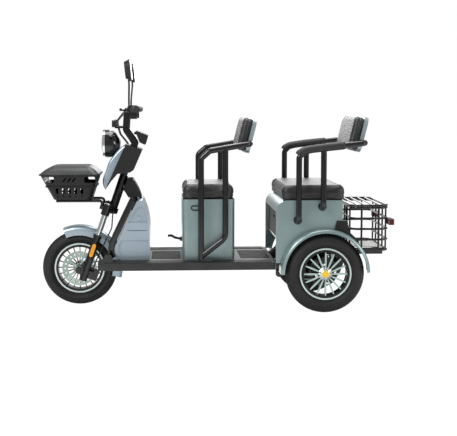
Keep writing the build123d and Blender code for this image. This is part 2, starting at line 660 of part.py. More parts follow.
with BuildPart() as control_cables:
    for side in SIDES:
        end, inward = bar_end(side)
        cable_start = end + inward * (GRIP_LENGTH + HOUSING_LENGTH + 2 * SEATED) + (-22, 0, -14)
        bar([cable_start, cable_start + inward * 40 + (-18, 0, -4), (-552, side * 70, 1035),
             (-532, side * 42, 965), (-488, side * 38, 909)], CABLE_RADIUS, 24)
    hose_top = on_steering(CROWN_BOTTOM - SEATED, -10, -55)
    bar([hose_top, on_steering(-200, -30, -66), on_steering(-320, -16, -70),
         on_steering(-400, -6, -71), on_steering(AXLE_ALONG + 13 + SEATED, -4, -71)], CABLE_RADIUS, 60)
save(control_cables, "control_cables")

# The fairing's side outline: a bowed front and a straight back edge
FAIRING_TOP = (-500, 911)
FAIRING_BOTTOM = (-614, 658)
FAIRING_FRONT = [(-542, 878), (-571, 844), (-594, 812), (-612, 760), (-627, 720), (-628, 690)]


def fairing_side(inset, depth):
    """The fairing's side outline, set in from its front and deepened behind its back edge."""
    top = (FAIRING_TOP[0] + 2 * inset + depth, FAIRING_TOP[1] - inset)
    bottom = (FAIRING_BOTTOM[0] + 2 * inset + depth, FAIRING_BOTTOM[1] + inset)
    start = (FAIRING_TOP[0] + 2 * inset, FAIRING_TOP[1] - inset)
    end = (FAIRING_BOTTOM[0] + 2 * inset, FAIRING_BOTTOM[1] + inset)
    with BuildSketch(side_plane()) as outline:
        with BuildLine():
            Spline(start, *[(x + inset, z) for x, z in FAIRING_FRONT], end)
            if depth:
                Polyline(end, bottom, top, start)
            else:
                Line(end, start)
        make_face()
    return outline.sketch


with BuildPart() as headlight_bowl:
    with BuildSketch(side_plane()) as bowl_cut:
        with BuildLine():
            Polyline((HEADLIGHT_X, HEADLIGHT_Z), (HEADLIGHT_X, HEADLIGHT_Z + HEADLIGHT_RADIUS),
                     (HEADLIGHT_X + 22, HEADLIGHT_Z + HEADLIGHT_RADIUS))
            ThreePointArc((HEADLIGHT_X + 22, HEADLIGHT_Z + HEADLIGHT_RADIUS),
                          (HEADLIGHT_X + 66, HEADLIGHT_Z + HEADLIGHT_RADIUS * 0.72),
                          (HEADLIGHT_X + 84, HEADLIGHT_Z + 20))
            Polyline((HEADLIGHT_X + 84, HEADLIGHT_Z + 20), (HEADLIGHT_X + 84, HEADLIGHT_Z),
                     (HEADLIGHT_X, HEADLIGHT_Z))
        make_face()
    revolve(profiles=bowl_cut.sketch, axis=Axis((HEADLIGHT_X, 0, HEADLIGHT_Z), (1, 0, 0)))
    extrude(to_extrude=fairing_side(-SEATED, 200), amount=FAIRING_HALF, both=True, mode=Mode.SUBTRACT)
save(headlight_bowl, "headlight_bowl")

LENS_X = HEADLIGHT_X - SEATED
with BuildPart() as headlight_rim:
    drum((LENS_X, 0, HEADLIGHT_Z), (-1, 0, 0), HEADLIGHT_RADIUS + 1, 12, HEADLIGHT_RADIUS - 7)
save(headlight_rim, "headlight_rim")

with BuildPart() as headlight_lens:
    lens_half = HEADLIGHT_RADIUS - 7 - SEATED
    lens_top = HEADLIGHT_Z + lens_half
    lens_radius = (lens_half ** 2 + 12 ** 2) / 24
    lens_mid = LENS_X - 22 + lens_radius - sqrt(lens_radius ** 2 - (lens_half / 2) ** 2)
    with BuildSketch(side_plane()) as lens_cut:
        with BuildLine():
            Polyline((LENS_X - 22, HEADLIGHT_Z), (LENS_X - 2, HEADLIGHT_Z), (LENS_X - 2, lens_top),
                     (LENS_X - 10, lens_top))
            ThreePointArc((LENS_X - 10, lens_top), (lens_mid, HEADLIGHT_Z + lens_half / 2),
                          (LENS_X - 22, HEADLIGHT_Z))
        make_face()
    revolve(profiles=lens_cut.sketch, axis=Axis((LENS_X, 0, HEADLIGHT_Z), (1, 0, 0)))
save(headlight_lens, "headlight_lens")

with BuildPart() as fairing:
    extrude(to_extrude=fairing_side(0, 0), amount=FAIRING_HALF, both=True)
    fillet(fairing.edges().filter_by(GeomType.BSPLINE), 14)
    extrude(to_extrude=fairing_side(SKIN, 30), amount=FAIRING_HALF - SKIN, both=True,
            mode=Mode.SUBTRACT)
save(fairing, "fairing")

with BuildPart() as glove_box:
    with BuildSketch(side_plane()) as glove_cut:
        with BuildLine():
            Polyline((-501.5, 907), (-474, 902), (-408, 880), (-457, 767), (-477, 754), (-545, 747),
                     (-586, 700), (-613, 659), close=True)
        make_face()
    extrude(to_extrude=glove_cut.sketch, amount=GLOVE_BOX_HALF, both=True)
    drum(on_steering(0, 0), ALONG, STEERER_RADIUS + SEATED, 400, mode=Mode.SUBTRACT)
    with BuildSketch(steering_plane(STEERER_TOP - 20)) as stem_slot:
        RectangleRounded(46, 52, 12)
    extrude(to_extrude=stem_slot.sketch, amount=60, mode=Mode.SUBTRACT)
save(glove_box, "glove_box")

# ---------------------------------------------------------------- front basket
def basket_ring(z, grow=0):
    """The basket's rounded outline at a height, wider towards its rim."""
    share = (z - BASKET_BOTTOM) / (BASKET_RIM - BASKET_BOTTOM)
    front = BASKET_FLOOR_FRONT_X + share * (BASKET_FRONT_X - BASKET_FLOOR_FRONT_X)
    rear = BASKET_FLOOR_REAR_X + share * (BASKET_REAR_X - BASKET_FLOOR_REAR_X)
    half = BASKET_FLOOR_HALF + share * (BASKET_HALF - BASKET_FLOOR_HALF)
    with BuildSketch(Plane.XY.offset(z)) as ring:
        with Locations(((front + rear) / 2, 0)):
            RectangleRounded(rear - front + 2 * grow, 2 * (half + grow), BASKET_CORNER + grow)
    return ring.sketch


with BuildPart() as front_basket:
    loft(sections=[basket_ring(BASKET_BOTTOM), basket_ring(BASKET_RIM)])
    loft(sections=[basket_ring(BASKET_BOTTOM + BASKET_SKIN, -BASKET_SKIN),
                   basket_ring(BASKET_RIM, -BASKET_SKIN)], mode=Mode.SUBTRACT)
    for level in (BASKET_WAIST, BASKET_RIM):
        extrude(to_extrude=basket_ring(level, 5), amount=-7)
        extrude(to_extrude=basket_ring(level, -BASKET_SKIN), amount=-7, mode=Mode.SUBTRACT)
    with BuildSketch(side_plane()) as side_slots:
        for column in range(5):
            slot_x = BASKET_X - 2 * BASKET_PITCH + column * BASKET_PITCH
            with Locations((slot_x, (BASKET_BOTTOM + BASKET_WAIST) / 2 + 11)):
                SlotOverall(34, 15, rotation=90)
            with Locations((slot_x, BASKET_BOTTOM + 20)):
                SlotOverall(12, 9)
        for column in range(3):
            with Locations((BASKET_X + (column - 1) * 26, (BASKET_WAIST + BASKET_RIM) / 2 + 3)):
                SlotOverall(30, 8, rotation=50)
        for corner_x in (BASKET_X - 112, BASKET_X + 112):
            with Locations((corner_x, (BASKET_WAIST + BASKET_RIM) / 2 + 3)):
                RectangleRounded(58, 34, 8)
    extrude(to_extrude=side_slots.sketch, amount=BASKET_HALF + 20, both=True, mode=Mode.SUBTRACT)
    with BuildSketch(Plane.YZ.offset(BASKET_FRONT_X - 20)) as end_slots:
        for column in range(5):
            slot_y = (column - 2) * BASKET_PITCH
            with Locations((slot_y, (BASKET_BOTTOM + BASKET_WAIST) / 2 + 11)):
                SlotOverall(34, 15, rotation=90)
            with Locations((slot_y, (BASKET_WAIST + BASKET_RIM) / 2 + 3)):
                RectangleRounded(26, 34, 8)
    extrude(to_extrude=end_slots.sketch, amount=BASKET_LENGTH + 60, mode=Mode.SUBTRACT)
save(front_basket, "front_basket")

with BuildPart() as basket_lid:
    lid_z = BASKET_RIM + SEATED
    with BuildSketch(Plane.XY.offset(lid_z + LID_RISE)) as lid_top:
        with Locations((BASKET_X + 10, 0)):
            RectangleRounded(BASKET_LENGTH - 130, 2 * BASKET_HALF - 110, BASKET_CORNER)
    with BuildSketch(Plane.XY.offset(lid_z + LID_RISE * 0.55)) as lid_mid:
        with Locations((BASKET_X + 4, 0)):
            RectangleRounded(BASKET_LENGTH - 50, 2 * BASKET_HALF - 40, BASKET_CORNER)
    with BuildSketch(Plane.XY.offset(lid_z)) as lid_foot:
        with Locations((BASKET_X, 0)):
            RectangleRounded(BASKET_LENGTH, 2 * BASKET_HALF, BASKET_CORNER)
    loft(sections=[lid_foot.sketch, lid_mid.sketch, lid_top.sketch])
    offset(amount=-BASKET_SKIN, openings=basket_lid.faces().sort_by(Axis.Z)[0])
save(basket_lid, "basket_lid")

with BuildPart() as basket_carrier:
    carrier_z = BASKET_BOTTOM - SEATED - BASKET_TUBE
    strut_ahead = FORK_AHEAD + STANCHION_RADIUS + CLAMP_WALL + BASKET_TUBE + SEATED
    strut_along = (carrier_z - STEER_Z - strut_ahead * sin(radians(RAKE))) / cos(radians(RAKE))
    for side in SIDES:
        tube_y = side * (BASKET_FLOOR_HALF - 30)
        strut_top = on_steering(strut_along, strut_ahead, side * FORK_HALF_SPREAD)
        bar([(BASKET_FLOOR_FRONT_X + 12, tube_y, carrier_z),
             (BASKET_FLOOR_REAR_X, tube_y, carrier_z), strut_top,
             on_steering(CROWN_BOTTOM + 8, strut_ahead, side * FORK_HALF_SPREAD)],
            BASKET_TUBE, 16)
    for cross_x in (BASKET_FLOOR_FRONT_X + 30, BASKET_X, BASKET_FLOOR_REAR_X - 10):
        bar([(cross_x, -BASKET_FLOOR_HALF + 30, carrier_z), (cross_x, BASKET_FLOOR_HALF - 30, carrier_z)],
            BASKET_TUBE)
save(basket_carrier, "basket_carrier")

# ---------------------------------------------------------------- chassis
NECK_HEAD = on_steering(NECK_JOIN_ALONG, 0)
NECK_RUN_Z = DECK_UNDER - SEATED - DOWN_TUBE_RADIUS
REAR_RAIL_Z = CAGE_BOTTOM - CAGE_BAR - SEATED - RAIL_RADIUS
with BuildPart() as chassis_frame:
    drum(on_steering(HEAD_BOTTOM, 0), ALONG, HEAD_TUBE_RADIUS, HEAD_TUBE_LENGTH)
    bar([NECK_HEAD, (NECK_KNEE_X, 0, NECK_KNEE_Z), (NECK_KNEE_X + 5, 0, NECK_RUN_Z + 55),
         (NECK_KNEE_X + 45, 0, NECK_RUN_Z), (NECK_KNEE_X + 200, 0, NECK_RUN_Z)], DOWN_TUBE_RADIUS, 30)
    for side in SIDES:
        bar([(NECK_KNEE_X + 60, side * RAIL_HALF_SPREAD, RAIL_Z),
             (DECK_REAR_X + 16, side * RAIL_HALF_SPREAD, RAIL_Z),
             (DECK_REAR_X + 76, side * RAIL_HALF_SPREAD, REAR_RAIL_Z),
             (CAGE_REAR_X - 20, side * RAIL_HALF_SPREAD, REAR_RAIL_Z)], RAIL_RADIUS, 50)
        bar([(UPRIGHT_X, side * RAIL_HALF_SPREAD, REAR_RAIL_Z),
             (UPRIGHT_X, side * RAIL_HALF_SPREAD, BODY_TOP - SKIN - SEATED)], RAIL_RADIUS - 2)
        with Locations((PIVOT_X, side * RAIL_HALF_SPREAD, (RAIL_Z + PIVOT_Z) / 2)):
            Box(34, 2 * RAIL_RADIUS - 6, RAIL_Z - PIVOT_Z + 30)
    for cross_x in (NECK_KNEE_X + 68, SEAT_BOX_X, DECK_REAR_X - 24):
        bar([(cross_x, -RAIL_HALF_SPREAD, RAIL_Z), (cross_x, RAIL_HALF_SPREAD, RAIL_Z)],
            RAIL_RADIUS - 2)
    for cross_x in (UPRIGHT_X, CAGE_FRONT_X, CAGE_REAR_X - 30):
        bar([(cross_x, -RAIL_HALF_SPREAD, REAR_RAIL_Z), (cross_x, RAIL_HALF_SPREAD, REAR_RAIL_Z)],
            RAIL_RADIUS - 2)
    drum(on_steering(HEAD_BOTTOM - 5, 0), ALONG, STEERER_RADIUS + RUNNING, HEAD_TUBE_LENGTH + 10,
         mode=Mode.SUBTRACT)
    drum((PIVOT_X, -RAIL_HALF_SPREAD - 40, PIVOT_Z), (0, 1, 0), PIVOT_RADIUS + RUNNING,
         2 * RAIL_HALF_SPREAD + 80, mode=Mode.SUBTRACT)
save(chassis_frame, "chassis_frame")

with BuildPart() as deck:
    with BuildSketch(Plane.XY.offset(DECK_EDGE)) as deck_plan:
        with BuildLine():
            Polyline((DECK_REAR_X, -DECK_HALF), (DECK_REAR_X, DECK_HALF),
                     (DECK_FRONT_X + 40, DECK_HALF), (DECK_FRONT_X, DECK_HALF - 30),
                     (DECK_FRONT_X, WHEEL_WELL_HALF), (WHEEL_WELL_X, WHEEL_WELL_HALF),
                     (WHEEL_WELL_X, -WHEEL_WELL_HALF), (DECK_FRONT_X, -WHEEL_WELL_HALF),
                     (DECK_FRONT_X, 30 - DECK_HALF), (DECK_FRONT_X + 40, -DECK_HALF), close=True)
        make_face()
        fillet(deck_plan.vertices(), 12)
    extrude(to_extrude=deck_plan.sketch, amount=DECK_SKIRT - RIB_RISE)
    offset(amount=-SKIN, openings=deck.faces().sort_by(Axis.Z)[0])
    with BuildSketch(Plane.XY.offset(DECK_TOP - RIB_RISE)) as ribs:
        for side in SIDES:
            for row in range(SIDE_RIBS):
                rib_y = side * (DECK_HALF - 12 - row * RIB_PITCH)
                with Locations(((DECK_FRONT_X + DECK_REAR_X) / 2 + 25, rib_y)):
                    Rectangle(DECK_REAR_X - DECK_FRONT_X - 90, RIB_WIDTH)
        for row in range(FOOT_RIBS):
            rib_y = (row - (FOOT_RIBS - 1) / 2) * RIB_PITCH * 1.5
            with Locations(((SEAT_BOX_FRONT_X + SHIELD_REAR_X) / 2, rib_y),
                           ((SEAT_BOX_REAR_X + DECK_REAR_X) / 2 + 10, rib_y)):
                Rectangle(SEAT_BOX_FRONT_X - SHIELD_REAR_X - 16, RIB_WIDTH)
    extrude(to_extrude=ribs.sketch, amount=RIB_RISE)
    for side in SIDES:
        with BuildSketch(side_plane(side * (DECK_HALF - 36))) as nose:
            with BuildLine():
                Polyline((-640, DECK_TOP - 5), (-606, 314), (-578, 314), (-560, DECK_TOP - 5), close=True)
            make_face()
        extrude(to_extrude=nose.sketch, amount=30, both=True)
        with Locations((DECK_REAR_X, side * RAIL_HALF_SPREAD, DECK_EDGE)):
            Box(60, 2 * RAIL_RADIUS + 6, 2 * (DECK_UNDER - DECK_EDGE) - 1, mode=Mode.SUBTRACT)
    with Locations((NECK_KNEE_X + 25, 0, DECK_TOP)):
        Box(120, 2 * DOWN_TUBE_RADIUS + 6, 60, mode=Mode.SUBTRACT)
save(deck, "deck")

with BuildPart() as leg_shield:
    with BuildSketch(side_plane()) as shield_cut:
        with BuildLine():
            Polyline((-556, 356), (-442, 591))
            ThreePointArc((-442, 591), (-428, 604), (-408, 600))
            ThreePointArc((-408, 600), (-379, 520), (SHIELD_REAR_X, 430))
            Polyline((SHIELD_REAR_X, 430), (SHIELD_REAR_X, DECK_PLATE + SEATED),
                     (SHIELD_FRONT_X, DECK_PLATE + SEATED))
            ThreePointArc((SHIELD_FRONT_X, DECK_PLATE + SEATED), (-557, 310), (-556, 356))
        make_face()
    extrude(to_extrude=shield_cut.sketch, amount=LEG_SHIELD_HALF, both=True)
    with Locations((WHEEL_WELL_X - WELL_CUT_BACK, 0, DECK_TOP)):
        Box(WELL_CUT[0], 2 * (WHEEL_WELL_HALF - SHIELD_WALL), WELL_CUT[1],
            align=(Align.MAX, Align.CENTER, Align.CENTER), mode=Mode.SUBTRACT)
    with Locations((TUNNEL_X, 0, TUNNEL_Z)):
        Box(TUNNEL_LENGTH, 2 * (WHEEL_WELL_HALF - TUNNEL_WALL), TUNNEL_HEIGHT, mode=Mode.SUBTRACT)
    with Locations((NECK_SLOT_X, 0, NECK_SLOT_Z)):
        Box(*NECK_SLOT, mode=Mode.SUBTRACT)
    for side in SIDES:
        pocket_plane = side_plane(side * (LEG_SHIELD_HALF - POCKET_DEPTH))
        with BuildSketch(pocket_plane) as pockets:
            with BuildLine():
                Polyline((-486, 484), (-384, 484), (-392, 540))
                ThreePointArc((-392, 540), (-418, 572), (-446, 553))
                Line((-446, 553), (-486, 484))
            make_face()
            with Locations((-428, 506)):
                Circle(POCKET_BOSS_RADIUS, mode=Mode.SUBTRACT)
            with BuildLine():
                Polyline((-520, 386), (-378, 386), (-378, 300), (-520, 300))
                ThreePointArc((-520, 300), (-540, 345), (-520, 386))
            make_face()
            with Locations((-436, 440)):
                Rectangle(*POCKET_RIB)
        extrude(to_extrude=pockets.sketch, amount=-side * 2 * POCKET_DEPTH, mode=Mode.SUBTRACT)
save(leg_shield, "leg_shield")

with BuildPart() as leg_shield_rail:
    for side in SIDES:
        rail_y = side * (LEG_SHIELD_HALF - 23)
        with BuildLine() as rail_route:
            FilletPolyline((-461, rail_y, 604), (-576, rail_y, 367), (-582, rail_y, 318),
                           (-566, rail_y, 290), radius=22)
        rail_path = rail_route.wires()[0]
        with BuildSketch(Plane(rail_path @ 0, x_dir=(0, 1, 0), z_dir=rail_path % 0)) as rail_cut:
            RectangleRounded(46, 34, 9)
        sweep(sections=rail_cut.sketch, path=rail_path)
save(leg_shield_rail, "leg_shield_rail")


def neck_side(inset):
    """The neck cover's side outline, thinned from its rear edge."""
    front = on_steering(HEAD_TOP - 2, -HEAD_TUBE_RADIUS - SEATED)
    top = on_steering(HEAD_TOP + 8 - inset, -50 + inset)
    with BuildSketch(side_plane()) as outline:
        with BuildLine():
            Polyline((-490, 612 - inset), (-514, 655), (front.X, front.Z), (top.X, top.Z))
            ThreePointArc((top.X, top.Z), (-436 - inset, 672), (-413 - inset, 612 - inset))
            Line((-413 - inset, 612 - inset), (-490, 612 - inset))
        make_face()
    return outline.sketch


with BuildPart() as neck_cover:
    extrude(to_extrude=neck_side(0), amount=NECK_HALF, both=True)
    extrude(to_extrude=neck_side(SKIN), amount=NECK_HALF - SKIN, both=True, mode=Mode.SUBTRACT)
save(neck_cover, "neck_cover")

# ---------------------------------------------------------------- rider's seat
def add_cushion(front_x, length, half, base_z, thick):
    """Adds a seat cushion, a block with round corners and a rounded top."""
    with BuildSketch(Plane.XY.offset(base_z)) as plan:
        with Locations((front_x + length / 2, 0)):
            RectangleRounded(length, 2 * half, 40)
    extrude(to_extrude=plan.sketch, amount=thick)


with BuildPart() as driver_seat_box:
    with BuildSketch(Plane.XY.offset(DECK_PLATE + SEATED)) as box_plan:
        with Locations((SEAT_BOX_X, 0)):
            RectangleRounded(SEAT_BOX_LENGTH, 2 * SEAT_BOX_HALF, 30)
    extrude(to_extrude=box_plan.sketch, amount=SEAT_BOX_TOP - DECK_PLATE - SEATED)
    offset(amount=-SKIN, openings=driver_seat_box.faces().sort_by(Axis.Z)[-1])
save(driver_seat_box, "driver_seat_box")

with BuildPart() as seat_box_trim:
    for side in SIDES:
        with BuildSketch(side_plane(side * (SEAT_BOX_HALF + SEATED))) as handle:
            with Locations((SEAT_BOX_FRONT_X + 70, SEAT_BOX_TOP - 47)):
                SlotOverall(48, 30)
            with Locations((SEAT_BOX_FRONT_X + 70, SEAT_BOX_TOP - 47)):
                SlotOverall(36, 18, mode=Mode.SUBTRACT)
        extrude(to_extrude=handle.sketch, amount=side * -5)
    with Locations((SEAT_BOX_REAR_X + SEATED, 0, SEAT_BOX_TOP - 34)):
        Box(11, 30, 30, align=(Align.MIN, Align.CENTER, Align.CENTER))
save(seat_box_trim, "seat_box_trim")

with BuildPart() as parking_brake:
    drum((SEAT_BOX_FRONT_X - SEATED, PEDAL_Y, PEDAL_Z), (-1, 0, 0), PEDAL_BOSS_RADIUS, PEDAL_BOSS_LENGTH)
    bar([(SEAT_BOX_FRONT_X - PEDAL_START, PEDAL_Y, PEDAL_Z),
         *((SEAT_BOX_FRONT_X - ahead, PEDAL_Y, PEDAL_Z + rise) for ahead, rise in PEDAL_RUN)],
        PEDAL_RADIUS, PEDAL_BEND)
save(parking_brake, "parking_brake")

CUSHION_Z = SEAT_BOX_TOP + SEATED
with BuildPart() as driver_cushion:
    add_cushion(SEAT_BOX_FRONT_X - 5, SEAT_BOX_LENGTH + 8, DRIVER_CUSHION_HALF, CUSHION_Z, CUSHION_THICK)
    fillet(driver_cushion.faces().sort_by(Axis.Z)[-1].edges(), 22)
    fillet(driver_cushion.faces().sort_by(Axis.Z)[0].edges(), 8)
save(driver_cushion, "driver_cushion")


def back_plane(corner_x, corner_z):
    """The front face of a backrest, from its lower edge, with its Y up the slope."""
    tilt = radians(BACK_TILT)
    return Plane((corner_x, 0, corner_z), x_dir=(0, 1, 0), z_dir=(cos(tilt), 0, -sin(tilt)))


def add_back_slab(corner_x, corner_z, half, start, thick, corner):
    """Adds a rounded slab of a backrest, between two depths behind its front face."""
    with BuildSketch(back_plane(corner_x, corner_z).offset(start)) as slab:
        with Locations((0, BACK_HEIGHT / 2)):
            RectangleRounded(2 * half, BACK_HEIGHT, corner)
    extrude(to_extrude=slab.sketch, amount=thick)


DRIVER_BACK = (112, 877)
REAR_BACK = (725, 883)
for name, corner, half in (("driver", DRIVER_BACK, DRIVER_BACK_HALF), ("rear", REAR_BACK, REAR_BACK_HALF)):
    with BuildPart() as back_pad:
        add_back_slab(*corner, half, 0, BACK_THICK - BACK_SHELL_THICK - SEATED, 45)
        fillet(back_pad.edges().group_by(Axis.X)[0], 5)
    save(back_pad, f"{name}_back_pad")
    with BuildPart() as back_shell:
        add_back_slab(*corner, half, BACK_THICK - BACK_SHELL_THICK, BACK_SHELL_THICK, 45)
    save(back_shell, f"{name}_back_shell")

# ---------------------------------------------------------------- armrest tubes
def arm_seat(corner, drop):
    """Where an arm's tube meets the edge of its backrest's shell, at a height on it."""
    plane = back_plane(*corner)
    return plane.origin + plane.z_dir * (BACK_THICK - BACK_SHELL_THICK / 2) + plane.y_dir * drop


with BuildPart() as driver_arms:
    end = arm_seat(DRIVER_BACK, 56)
    for side in SIDES:
        y = side * DRIVER_ARM_Y
        bar([(DRIVER_ARM_X, y, DECK_TOP + SEATED), (DRIVER_ARM_X, y, DRIVER_ARM_KNEE_Z), (-40, y, 880),
             (end.X, y, end.Z), (end.X, side * (DRIVER_BACK_HALF + SEATED), end.Z)],
            ARM_RADIUS, DRIVER_ARM_BEND)
        bar([(DRIVER_POST_X, y, DRIVER_POST_TOP), (DRIVER_POST_X, y, DRIVER_POST_KNEE_Z), (-84, y, 306)],
            ARM_RADIUS, DRIVER_POST_BEND)
        with Locations((DRIVER_FOOT_X, y, DECK_TOP + SEATED)):
            Box(*DRIVER_FOOT, align=(Align.CENTER, Align.CENTER, Align.MIN))
save(driver_arms, "driver_arms")

with BuildPart() as rear_arms:
    end = arm_seat(REAR_BACK, 56)
    for side in SIDES:
        y = side * REAR_ARM_Y
        seat_y = side * (BODY_HALF + SEATED)
        bar([(REAR_ARM_X, seat_y, REAR_ARM_SEAT_Z), (REAR_ARM_X, y, REAR_ARM_SEAT_Z),
             (REAR_ARM_X, y, REAR_ARM_KNEE_Z), (476, y, 890), (end.X, y, end.Z),
             (end.X, side * (REAR_BACK_HALF + SEATED), end.Z)], ARM_RADIUS, REAR_ARM_BEND)
        bar([(REAR_POST_X, seat_y, REAR_POST_SEAT_Z), (REAR_POST_X, y, REAR_POST_SEAT_Z),
             (REAR_POST_X, y, REAR_POST_TOP)], ARM_RADIUS, REAR_ARM_BEND)
        for collar_x, collar_z in ((REAR_ARM_X, REAR_ARM_SEAT_Z), (REAR_POST_X, REAR_POST_SEAT_Z)):
            drum((collar_x, seat_y, collar_z), (0, side, 0), ARM_RADIUS + ARM_COLLAR_WALL, ARM_COLLAR_LENGTH)
save(rear_arms, "rear_arms")

# ---------------------------------------------------------------- rear body and bench
def body_side(inset):
    """The rear body's side outline, set in from its top, front and rear."""
    front = BODY_FRONT_X + inset
    top = BODY_TOP - inset
    with BuildSketch(side_plane()) as outline:
        with BuildLine():
            Polyline((front, BODY_BOTTOM - inset), (front, top - BODY_CORNER))
            RadiusArc((front, top - BODY_CORNER), (front + BODY_CORNER, top), BODY_CORNER)
            Polyline((front + BODY_CORNER, top), (BODY_REAR_X - inset, top),
                     (BODY_REAR_X - inset, BODY_BOTTOM - inset), (front, BODY_BOTTOM - inset))
        make_face()
    return outline.sketch


with BuildPart() as rear_body:
    extrude(to_extrude=body_side(0), amount=BODY_HALF, both=True)
    extrude(to_extrude=body_side(SKIN), amount=BODY_HALF - SKIN, both=True, mode=Mode.SUBTRACT)
    with Locations((BODY_FRONT_X, 0, BODY_BOTTOM)):
        Box(2 * BODY_CORNER, 2 * (BODY_HALF - SKIN), 2 * (BODY_TOP - BODY_CORNER - BODY_BOTTOM),
            mode=Mode.SUBTRACT)
    with Locations((BODY_FRONT_X + 18, 0, HATCH_BOTTOM - SEATED)):
        Box(14, 2 * BODY_HALF - SKIN, 10, align=(Align.MIN, Align.CENTER, Align.MAX))
    for side in SIDES:
        drum((REAR_AXLE_X, side * REAR_FENDER_IN, REAR_TYRE_RADIUS), (0, side, 0),
             ARCH_OUTER + SEATED, 100, mode=Mode.SUBTRACT)
        drum((BODY_REAR_X - 30, side * RAIL_HALF_SPREAD, REAR_RAIL_Z), (1, 0, 0),
             RAIL_RADIUS + SEATED, 60, mode=Mode.SUBTRACT)
save(rear_body, "rear_body")

with BuildPart() as rear_hatch:
    with Locations((BODY_FRONT_X + 20, 0, HATCH_BOTTOM)):
        Box(8, 2 * (BODY_HALF - SKIN - MOVING), BODY_TOP - BODY_CORNER - 6 - HATCH_BOTTOM,
            align=(Align.MIN, Align.CENTER, Align.MIN))
    with Locations((BODY_FRONT_X + 18, 0, BODY_TOP - BODY_CORNER - 60)):
        Box(12, 60, 14, align=(Align.MIN, Align.CENTER, Align.MIN), mode=Mode.SUBTRACT)
save(rear_hatch, "rear_hatch")

with BuildPart() as rear_fenders:
    for side in SIDES:
        fender_in = side * REAR_FENDER_IN
        fender_out = side * REAR_FENDER_OUT
        turn = side * FENDER_BAND
        with BuildSketch(Plane((REAR_AXLE_X, 0, REAR_TYRE_RADIUS), x_dir=(0, 1, 0),
                               z_dir=(0, 0, -1))) as band:
            with BuildLine():
                Polyline((fender_in, -ARCH_OUTER + SKIN), (fender_in, -ARCH_OUTER),
                         (fender_out - turn, -ARCH_OUTER))
                RadiusArc((fender_out - turn, -ARCH_OUTER), (fender_out, -ARCH_INNER), -turn)
                Line((fender_out, -ARCH_INNER), (fender_out - side * SKIN, -ARCH_INNER))
                RadiusArc((fender_out - side * SKIN, -ARCH_INNER),
                          (fender_out - turn, -ARCH_OUTER + SKIN), turn - side * SKIN)
                Line((fender_out - turn, -ARCH_OUTER + SKIN), (fender_in, -ARCH_OUTER + SKIN))
            make_face()
        revolve(profiles=band.sketch, axis=Axis((REAR_AXLE_X, 0, REAR_TYRE_RADIUS), (0, 1, 0)),
                revolution_arc=FENDER_ARC)
save(rear_fenders, "rear_fenders")

with BuildPart() as rear_corner_trim:
    for side in SIDES:
        with BuildSketch(side_plane(side * (REAR_FENDER_IN + 3))) as trim_cut:
            Polygon((632, 430), (650, 500), (708, 500), (718, 440), (770, 392), (770, 330), (632, 330),
                    align=None)
        extrude(to_extrude=trim_cut.sketch, amount=-side * (BODY_HALF - REAR_FENDER_IN + 6))
    drum((REAR_AXLE_X, -TRACK, REAR_TYRE_RADIUS), (0, 1, 0), ARCH_OUTER + SEATED, 2 * TRACK,
         mode=Mode.SUBTRACT)
    with Locations((BODY_REAR_X + SEATED, 0, 400)):
        Box(120, 2 * (BODY_HALF + SEATED), 400, align=(Align.MAX, Align.CENTER, Align.CENTER),
            mode=Mode.SUBTRACT)
save(rear_corner_trim, "rear_corner_trim")

with BuildPart() as rear_cushion:
    add_cushion(REAR_CUSHION_FRONT_X, REAR_CUSHION_LENGTH, REAR_CUSHION_HALF, BODY_TOP + SEATED,
                CUSHION_THICK)
    fillet(rear_cushion.faces().sort_by(Axis.Z)[-1].edges(), 22)
    fillet(rear_cushion.faces().sort_by(Axis.Z)[0].edges(), 8)
save(rear_cushion, "rear_cushion")

with BuildPart() as battery_block:
    with Locations((470, 0, REAR_RAIL_Z + RAIL_RADIUS + SEATED)):
        Box(180, 340, 170, align=(Align.CENTER, Align.CENTER, Align.MIN))
save(battery_block, "battery_block")

# ---------------------------------------------------------------- cage and lamps
CAGE_X = (CAGE_FRONT_X + CAGE_REAR_X) / 2
with BuildPart() as rear_cage:
    cage_step = (CAGE_TOP - CAGE_BOTTOM) / 4
    for row in range(5):
        hoop(Plane((CAGE_X, 0, CAGE_BOTTOM + row * cage_step)), CAGE_LENGTH - 2 * CAGE_BAR,
             2 * (CAGE_HALF - CAGE_BAR), 45, CAGE_BAR)
    for side in SIDES:
        for bar_x in (CAGE_FRONT_X + 60, CAGE_REAR_X - 60):
            post_y = side * (CAGE_HALF - CAGE_BAR)
            bar([(bar_x, post_y, CAGE_BOTTOM), (bar_x, post_y, CAGE_TOP)], CAGE_BAR - 1)
    for bar_y in (-170, -85, 0, 85, 170):
        for bar_x in (CAGE_FRONT_X + CAGE_BAR, CAGE_REAR_X - CAGE_BAR):
            bar([(bar_x, bar_y, CAGE_BOTTOM), (bar_x, bar_y, CAGE_TOP)], CAGE_BAR - 1)
        bar([(CAGE_FRONT_X + CAGE_BAR, bar_y, CAGE_BOTTOM), (CAGE_REAR_X - CAGE_BAR, bar_y, CAGE_BOTTOM)],
            CAGE_BAR - 1)
save(rear_cage, "rear_cage")

with BuildPart() as cage_tray:
    with Locations((CAGE_X, 0, CAGE_BOTTOM + CAGE_BAR - 1 + SEATED)):
        Box(CAGE_LENGTH - 50, 300, 3, align=(Align.CENTER, Align.CENTER, Align.MIN))
save(cage_tray, "cage_tray")

with BuildPart() as cage_lid:
    lid_z = CAGE_TOP + 2 * CAGE_BAR + SEATED
    hoop(Plane((CAGE_X, 0, lid_z)), CAGE_LENGTH - 2 * CAGE_BAR, 2 * (CAGE_HALF - CAGE_BAR), 45, CAGE_BAR)
    for column in range(1, 5):
        lid_x = CAGE_FRONT_X + column * CAGE_LENGTH / 5
        bar([(lid_x, -CAGE_HALF + CAGE_BAR, lid_z), (lid_x, CAGE_HALF - CAGE_BAR, lid_z)], CAGE_BAR - 1)
save(cage_lid, "cage_lid")

